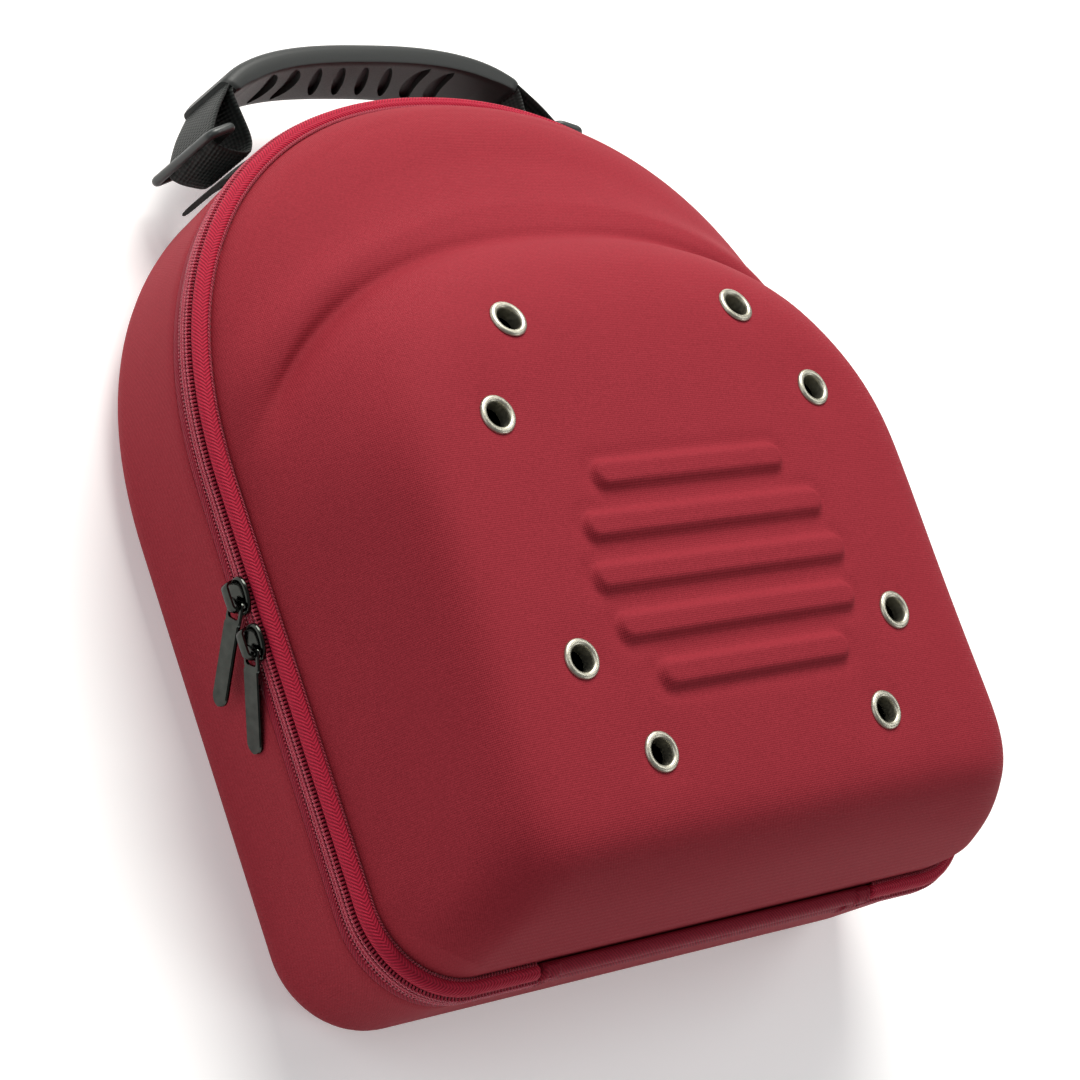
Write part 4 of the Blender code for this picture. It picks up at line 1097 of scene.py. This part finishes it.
def slider(metal, name, node):
    """A zip slider: a waisted plate with rolled edges over the chain, and a crown for the pull."""
    low, high = (np.array(corner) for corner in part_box(node))
    middle = (low[1] + high[1]) / 2
    inner = high[0]
    rows = []
    # The plate's size at each depth in millimetres, as a share of its full size.
    rounding = ((0.0, 0.90), (0.25, 0.99), (0.8, 1.0), (1.25, 0.96), (1.5, 0.86), (1.6, 0.70))
    sides = 48
    turn = circle(sides)
    along = signed_power(np.cos(turn), 0.72)
    across = signed_power(np.sin(turn), 0.72)
    shoulder = 1 - 0.16 * np.clip(-along, 0, 1)
    for depth, size in rounding:
        level = np.full(sides, inner - depth * MM)
        length = middle + along * SLIDER_LENGTH / 2 * lerp(0.9, 1, size) * size**0.3
        rows.append(np.stack([level, length, SEAM + across * shoulder * SLIDER_WIDTH / 2 * size], axis=-1))
    plate = (np.array(rows).reshape(-1, 3), grid_faces(len(rows), sides, caps=True))
    top = inner - SLIDER_PLATE
    reach_y = SLIDER_LENGTH / 2 * 0.76
    crown_top = low[0]
    shoulder_x = lerp(top, crown_top, 0.78)
    arch = (
        (top + 0.8 * MM, middle - reach_y, SEAM),
        (top - 0.9 * MM, middle - reach_y * 1.03, SEAM),
        (shoulder_x, middle - reach_y * 0.82, SEAM),
        (crown_top + 0.62 * MM, middle - reach_y * 0.35, SEAM),
        (crown_top + 0.60 * MM, middle + reach_y * 0.35, SEAM),
        (shoulder_x, middle + reach_y * 0.82, SEAM),
        (top - 0.9 * MM, middle + reach_y * 1.03, SEAM),
        (top + 0.8 * MM, middle + reach_y, SEAM),
    )
    path = smooth_curve(arch, 4)
    place = np.linspace(-1, 1, len(path))
    half_width = np.where(np.abs(place) < 0.62, 1.55, 1.0) * MM
    half_width = np.convolve(np.pad(half_width, 3, mode="edge"), np.ones(7) / 7, "valid")
    outward = np.cross(unit(np.gradient(path, axis=0)), UP)
    half_section = ((-1, -0.6), (-0.75, -1), (0.75, -1), (1, -0.6))
    corners = half_section + tuple((-u, -v) for u, v in half_section)
    rings = []
    for u, v in corners:
        lift = outward * (0.55 * MM * v)
        rings.append(path + lift + UP * (half_width * u)[:, None])
    crown = (np.stack(rings, axis=1).reshape(-1, 3), grid_faces(len(path), len(corners), caps=True))
    piece = add_piece(name, *plate, [metal], "case", "black_metal", [node], 35)
    other = add_piece(f"{name}_crown", *crown, [metal], "case", "black_metal", (), 35)
    combine(piece, other, "UNION", 35)


def joint_pin(name):
    """A joint's place and the direction of its pin."""
    joint = next(joint for joint in frame["joints"] if joint["name"] == name)
    return Vector(joint["pos_m"]), Vector(joint["axis"]).normalized()


def pull(metal, name, node, joint, body):
    """A zip pull: a slim blade with a round end, a raised face with a step, and an eye at its top."""
    origin, pin = joint_pin(joint)
    vertices = [Vector(vertex.co) for vertex in frame["nodes"][node].data.vertices]
    far = max(vertices, key=lambda point: (point - origin).length)
    along = far - origin
    along = (along - pin * along.dot(pin)).normalized()
    away = along.cross(pin)
    if away.x > 0:
        away = -away
    half = PULL_WIDTH / 2
    eye_half = PULL_EYE_WIDTH / 2 + PULL_BAR
    neck = PULL_EYE_LENGTH + PULL_BAR / 2
    end = PULL_LENGTH - half
    # Each station says how far along the blade it is, its half width and its front face in millimetres.
    stations = [(-PULL_BAR / 2, eye_half - 0.5 * MM, 0.35), (-PULL_BAR / 2 + 0.3 * MM, eye_half, 0.4)]
    stations += [(neck, eye_half, 0.4), (neck + 0.9 * MM, half, 0.4), (neck + 1.5 * MM, half, 0.85)]
    stations += [(lerp(neck + 1.3 * MM, end, share), half, 0.85) for share in (0.5, 1.0)]
    for angle in (20, 38, 54, 67, 78, 86):
        turn = math.radians(angle)
        stations.append((end + half * math.sin(turn), half * math.cos(turn), 0.85))
    back = -0.62 * MM
    rows = []
    for u, wide, front in stations:
        face = front * MM
        soft = min(0.42 * MM, wide / 2)
        half_ring = [(wide - soft, face), (wide, face - soft), (wide, back + soft), (wide - soft, back)]
        ring = [(-v, w) for v, w in half_ring[::-1]] + half_ring
        rows.append([tuple(origin + along * u + pin * v + away * w) for v, w in ring])
    points = np.array(rows).reshape(-1, 3)
    faces = grid_faces(len(rows), len(ring), caps=True)
    angle = 30
    piece = add_piece(name, points, faces, [metal], body, "black_metal", [node], angle)
    wide = PULL_EYE_WIDTH / 2
    eye = rounded_rectangle(PULL_BAR / 2, neck - 0.2 * MM, -wide, wide, 1.1 * MM, 5)
    rows = []
    for level in (-3 * MM, 3 * MM):
        rows.append([tuple(origin + along * u + pin * v + away * level) for u, v in eye])
    cut(piece, [(np.array(rows).reshape(-1, 3), grid_faces(2, len(eye), caps=True))], angle)


def rounded_rectangle(low_u, high_u, low_v, high_v, radius, steps):
    """Corner points of a rectangle with round corners."""
    points = []
    for u, v, start in (
        (high_u - radius, high_v - radius, 0),
        (low_u + radius, high_v - radius, 90),
        (low_u + radius, low_v + radius, 180),
        (high_u - radius, low_v + radius, 270),
    ):
        for step in range(steps + 1):
            turn = math.radians(start + 90 * step / steps)
            points.append((u + radius * math.cos(turn), v + radius * math.sin(turn)))
    return points


def grip_point(share):
    """The grip's centre line in X and Y, for shares from -1 to 1."""
    turn = math.radians(GRIP_TURN) * share
    power = 2 / GRIP_SQUARENESS
    x = GRIP_HALF_SPAN * signed_power(np.sin(turn), power)
    y = GRIP_CREST - GRIP_DROP + GRIP_DROP * np.maximum(np.cos(turn), 0) ** power
    return np.stack([x, y], axis=-1)


def grip_frame(share):
    """The grip's centre line and the way out from the case."""
    step = 0.01
    along = unit(grip_point(np.minimum(share + step, 1)) - grip_point(np.maximum(share - step, -1)))
    return grip_point(share), np.stack([-along[..., 1], along[..., 0]], axis=-1)


# The grip's width and thickness along it, as shares of its full ones.
GripSection = namedtuple("GripSection", "place width thickness")
GRIP_SECTIONS = (
    GripSection(0.00, 1.00, 1.00),
    GripSection(0.55, 1.00, 1.00),
    GripSection(0.72, 1.00, 0.85),
    GripSection(0.84, 0.96, 0.55),
    GripSection(0.93, 0.92, 0.40),
    GripSection(1.00, 0.88, 0.30),
)


def grip_shares(share):
    """The grip's width and thickness at a share of its length."""
    places = [section.place for section in GRIP_SECTIONS]
    width = np.interp(np.abs(share), places, [section.width for section in GRIP_SECTIONS])
    thickness = np.interp(np.abs(share), places, [section.thickness for section in GRIP_SECTIONS])
    return width, thickness


def grip(rubber):
    """The moulded grip, with leaf and crescent recesses in its underside."""
    shares = np.linspace(-RUBBER_END, RUBBER_END, 161)
    centre, out = grip_frame(shares)
    width, thickness = grip_shares(shares)
    from_end = (RUBBER_END - np.abs(shares)) / 0.035
    rounded = np.sqrt(np.clip(1 - (1 - np.clip(from_end, 0, 1)) ** 2, 0.25, 1))
    half_width = GRIP_WIDTH / 2 * width * lerp(0.93, 1, rounded)
    top = GRIP_THICKNESS / 2
    bottom = top - GRIP_THICKNESS * thickness
    soft_top = np.minimum(3.2 * MM, (top - bottom) * 0.45)
    soft_low = np.minimum(0.9 * MM, (top - bottom) * 0.2)
    columns = []
    for side, turns in ((-1, (0, 22, 45, 67, 90)), (1, (90, 67, 45, 22, 0))):
        for angle in turns:
            turn = math.radians(angle)
            across = side * (half_width - soft_top * (1 - math.cos(turn)))
            columns.append((across, top - soft_top * (1 - math.sin(turn))))
    under = [
        (half_width, bottom + soft_low),
        (half_width - 0.3 * soft_low, bottom + 0.3 * soft_low),
        (half_width - soft_low, bottom),
    ]
    flat = [((half_width - soft_low) * place, bottom) for place in np.linspace(1, -1, 13)[1:-1]]
    columns += under + flat + [(-across, up) for across, up in under[::-1]]
    rings = []
    for across, up in columns:
        rings.append(np.column_stack([centre + out * up[:, None], HANDLE_HEIGHT + across]))
    points = np.stack(rings, axis=1)
    faces = grid_faces(*points.shape[:2], caps=True)
    piece = add_piece("grip", points, faces, [rubber], "case", "grip_rubber", ["handle_grip"], 50)
    cut(piece, [recess(points) for points in grip_recesses()])


def crescent(middle, bend, mirror):
    """A curved recess as (along, across) points: its ends lean one way and its belly the other."""
    half_length = 11.6 * MM
    half_width = 3.0 * MM
    slant = 2.6 * MM
    outer = []
    inner = []
    for share in np.linspace(-1, 1, 11):
        across = share * half_length
        lean = bend * (1 - share**2) - slant * share
        half = half_width * (1 - share**2) ** 0.5 + 0.15 * MM
        outer.append((middle + mirror * (lean + half), across * mirror))
        inner.append((middle + mirror * (lean - half), across * mirror))
    return outer + inner[::-1]


def leaf(middle):
    """A slanted leaf-shaped recess as (along, across) points."""
    half_length = 11.5 * MM
    half_width = 2.2 * MM
    slant = math.radians(62)
    points = []
    for turn in circle(16):
        u = half_length * math.cos(turn)
        v = half_width * math.sin(turn)
        along = middle + u * math.cos(slant) - v * math.sin(slant)
        points.append((along, -u * math.sin(slant) - v * math.cos(slant)))
    return points


def grip_recesses():
    """Outlines of the recesses under the grip: leaves in its middle and crescents towards its ends."""
    shapes = [leaf(place) for place in (-16 * MM, -5.3 * MM, 5.3 * MM, 16 * MM)]
    for mirror in (-1, 1):
        shapes += [crescent(mirror * place, -3.4 * MM, mirror) for place in (31 * MM, 42 * MM)]
    return shapes


def recess(points):
    """A solid that cuts one recess into the grip's underside."""
    depth = 2.2 * MM
    shares = np.linspace(-0.9, 0.9, 721)
    line = grip_point(shares)
    travelled = walked(line)
    travelled -= travelled[len(travelled) // 2]
    rows = []
    for level in (depth, -3 * MM):
        row = []
        for along, across in points:
            share = np.interp(along, travelled, shares)
            centre, out = grip_frame(np.array(share))
            place = centre + out * (level - GRIP_THICKNESS / 2)
            row.append((*place, HANDLE_HEIGHT + across))
        rows.append(row)
    return np.array(rows).reshape(-1, 3), grid_faces(2, len(points), caps=True)


def wall_y(x, height):
    """The Y of the back shell's upper wall at this X and height, and the way out from it."""
    inset = math.tan(math.radians(BACK_DRAFT)) * max(tape_low[2] - height, 0)
    half = HALF_WIDTH - inset
    rise = TOP - ARCH_START - inset
    share = (1 - (abs(x) / half) ** ARCH_SQUARENESS) ** (1 / ARCH_SQUARENESS)
    power = ARCH_SQUARENESS - 1
    slope = Vector((math.copysign((abs(x) / half) ** power / half, x), share**power / rise))
    return ARCH_START + rise * share, slope.normalized()


def anchor_point(side):
    """Where one end's ring lies on its patch, in X and Y."""
    x = side * ANCHOR_HALF_SPAN
    y, out = wall_y(x, HANDLE_HEIGHT + GRIP_WIDTH / 2)
    return Vector((x, y)) + out * (WEBBING + 2 * CLEARANCE)


def ring_bars(side):
    """The places of a ring's outer and inner bar, in X and Y."""
    foot = anchor_point(side)
    outer = foot + Vector((side * RING_OUT, RING_UP))
    tilt = math.radians(RING_TILT)
    inner = outer + Vector((-side * math.cos(tilt), math.sin(tilt))) * (RING_DEPTH - RING_WIRE / 4)
    return outer, inner


def strap_path(side):
    """The webbing's middle line: out of the grip, between the ring's bars, along the patch and back up."""
    outer, inner = ring_bars(side)
    seat = anchor_point(side) + Vector((0, WEBBING / 2 + 2 * CLEARANCE))
    plies = []
    for lift in PLY_LIFTS:
        ply = []
        for share in PLY_SHARES:
            centre, out = grip_frame(np.array(side * share))
            ply.append(Vector(centre) + Vector(out) * lift)
        plies.append(ply)
    gap = outer.lerp(inner, 0.4)
    points = plies[0] + [plies[0][-1].lerp(gap, 0.5) + Vector((side * 0.8, 0.6)) * MM, gap]
    points.append(gap + Vector((-side * 2.2, -3.4)) * MM)
    points += [seat + Vector((side * out, up)) * MM for out, up in FOLD_POINTS]
    points += plies[1][::-1]
    return smooth_curve(np.array([tuple(point) for point in points]), 7)


def web(name, path, width, webbing, replaced):
    """A strip of ribbed webbing whose edge follows a path in X and Y."""
    along = unit(np.gradient(path, axis=0))
    normal = np.stack([-along[:, 1], along[:, 0]], axis=1)
    travelled = walked(path)
    ribs = 14
    steps = ribs * 4
    places = np.linspace(-1, 1, steps + 1)
    rib = np.cos(np.linspace(0, ribs, steps + 1) * 2 * math.pi)
    edge = np.sqrt(np.clip(1 - np.abs(places) ** 10, 0.05, 1))
    rows = []
    threads = []
    for face in (1, -1):
        for k in range(steps + 1) if face > 0 else range(steps, -1, -1):
            lift = face * (WEBBING / 2 * edge[k] - 0.14 * MM * (1 + rib[k]) / 2)
            across = np.full(len(path), places[k] * width / 2)
            rows.append(np.column_stack([path + normal * lift, HANDLE_HEIGHT + across]))
            # The thread map's third value is the rib's height, from -1 in a groove to 1 on a crest; the
            # webbing's colour reads it to paint shade in the grooves.
            threads.append(np.column_stack([travelled, across, np.full(len(path), -rib[k])]))
    points = np.stack(rows, axis=1)
    thread = np.stack(threads, axis=1)
    faces = grid_faces(*points.shape[:2], caps=True)
    add_piece(name, points, faces, [webbing], "case", "black_webbing", replaced, 60, thread=thread)


def handle_end(place, side, webbing, nylon, thread_material):
    """One end of the handle: the folded webbing, its ring and the patch on the case."""
    web(f"webbing_{place}", strap_path(side), WEBBING_WIDTH, webbing, [f"handle_strap_{place}"])
    x = side * (ANCHOR_HALF_SPAN + np.linspace(-ANCHOR_LENGTH / 2, ANCHOR_LENGTH / 2, 24))
    path = []
    for value in x:
        y, out = wall_y(value, HANDLE_HEIGHT + WEBBING_WIDTH / 2)
        path.append(tuple(Vector((value, y)) + out * (CLEARANCE + WEBBING / 2)))
    web(f"patch_{place}", np.array(path), WEBBING_WIDTH, webbing, [f"anchor_patch_{place}"])
    outer, inner = ring_bars(side)
    across = (inner - outer).normalized()
    half = RING_LENGTH / 2 - RING_WIRE / 2
    loop = rounded_rectangle(0, (inner - outer).length, -half, half, RING_WIRE * 0.8, 6)
    path = [(*(outer + across * u), HANDLE_HEIGHT + v) for u, v in loop]
    ring = ring_tube(np.array(path), across)
    add_piece(f"ring_{place}", *ring, [nylon], "case", "black_plastic", [f"strap_ring_{place}"], 60)
    bar_tack(place, side, thread_material)


def ring_tube(path, across):
    """A tube along a closed loop that lies in the plane of the handle's height and this direction."""
    sides = 14
    along = unit(np.roll(path, -1, 0) - np.roll(path, 1, 0))
    square = np.array((-across.y, across.x, 0.0))
    side = unit(np.cross(along, square))
    turn = circle(sides)
    ring = np.cos(turn)[None, :, None] * side[:, None] + np.sin(turn)[None, :, None] * square
    points = path[:, None] + ring * RING_WIRE / 2
    return points.reshape(-1, 3), grid_faces(len(path), sides, wrap_rows=True)


def bar_tack(place, side, thread_material):
    """The row of stitches that closes the webbing above the ring."""
    path = strap_path(side)
    spot = int(len(path) * 0.86)
    along = unit(path[spot + 1] - path[spot - 1])
    normal = np.array((-along[1], along[0]))
    heights = HANDLE_HEIGHT + np.linspace(-0.44, 0.44, 11) * WEBBING_WIDTH
    stitch = bead(1.9 * MM, 0.6 * MM, 0.5 * MM)
    shapes = []
    for face in (-1, 1):
        flat = path[spot] + normal * face * WEBBING / 2
        origin = np.column_stack([np.broadcast_to(flat, (len(heights), 2)), heights])
        axes = (UP, np.array((*along, 0.0)), np.array((*normal, 0.0)))
        shapes.append(copies(*stitch, (origin, *(np.broadcast_to(axis, origin.shape) for axis in axes))))
    add_stitches(f"bar_tack_{place}", shapes, thread_material, "black_webbing")


# Floor, light and camera


def add_light(light):
    lamp = bpy.data.lights.new(light.name, "AREA")
    lamp.shape = "SQUARE"
    lamp.size = light.size
    lamp.energy = light.power
    lamp.color = linear(light.colour)[:3]
    made = bpy.data.objects.new(light.name, lamp)
    made.location = light.place
    aim = Vector(LIGHT_TARGET) - Vector(light.place)
    made.rotation_euler = aim.to_track_quat("-Z", "Y").to_euler()
    bpy.context.scene.collection.objects.link(made)


def stage():
    """The floor under the case, the surrounding light and the lamps."""
    bpy.ops.mesh.primitive_plane_add(size=12, location=(0, 0, FLOOR_LEVEL))
    floor = bpy.context.active_object
    floor.name = "studio_floor"
    floor.data.materials.append(white_floor())
    world = bpy.data.worlds.new("studio")
    world.use_nodes = True
    world.node_tree.nodes["Background"].inputs["Color"].default_value = linear("FFFFFF")
    world.node_tree.nodes["Background"].inputs["Strength"].default_value = WORLD_GLOW
    bpy.context.scene.world = world
    for light in LIGHTS:
        add_light(light)


def add_camera():
    """The camera at the photograph's angle above the floor."""
    data = bpy.data.cameras.new("photo_camera")
    data.sensor_width = 36
    data.lens = CAMERA_LENS
    data.clip_start = 0.01
    camera = bpy.data.objects.new("photo_camera", data)
    matrix = Matrix.Rotation(math.radians(CAMERA_AZIMUTH), 4, "Z")
    matrix @= Matrix.Rotation(math.radians(90 - CAMERA_ELEVATION), 4, "X")
    matrix @= Matrix.Rotation(math.radians(CAMERA_ROLL), 4, "Z")
    matrix.translation = CAMERA_PLACE
    camera.matrix_world = matrix
    bpy.context.scene.collection.objects.link(camera)
    bpy.context.scene.camera = camera


def make_case():
    """Every piece of the case, each material made once."""
    cloth = pressed_knit()
    inside = lining()
    band = woven_tape("herringbone_tape", "780C22", "C02440", 0.08)
    plain_tape = woven_tape("plain_zip_tape", "6A0E20", "961A30", 0.05)
    # The tape under the teeth is darker than the other tapes: painted shade between the teeth.
    bed = woven_tape("zip_tape_edge_painted_shade", "3C0813", "560E1C", 0.0)
    red_thread = sewing_thread("crimson_thread", "84142C", "C4304C")
    black_thread = sewing_thread("black_thread", "0E100F", "2B302D")
    front_cloth(cloth, inside)
    back_cloth(cloth, inside)
    piping(band)
    edge_stitches(red_thread)
    back_tape(plain_tape)
    coil_teeth(nylon_coil())
    chain_stitches(red_thread)
    chain_bed(bed)
    hinge_cloth(plain_tape, red_thread)
    eyelets(nickel_plate())
    metal = black_nickel()
    slider(metal, "zip_slider_upper", "slider_upper")
    slider(metal, "zip_slider_lower", "slider_lower")
    pull(metal, "zip_pull_upper", "pull_upper", "upper_pull_swing", "upper_pull")
    pull(metal, "zip_pull_lower", "pull_lower", "lower_pull_swing", "lower_pull")
    grip(moulded_rubber())
    webbing = nylon_webbing()
    nylon = moulded_nylon()
    for place, side in (("left", -1), ("right", 1)):
        handle_end(place, side, webbing, nylon, black_thread)


add_camera()
stage()
bpy.context.scene.view_settings.view_transform = "Standard"
make_case()
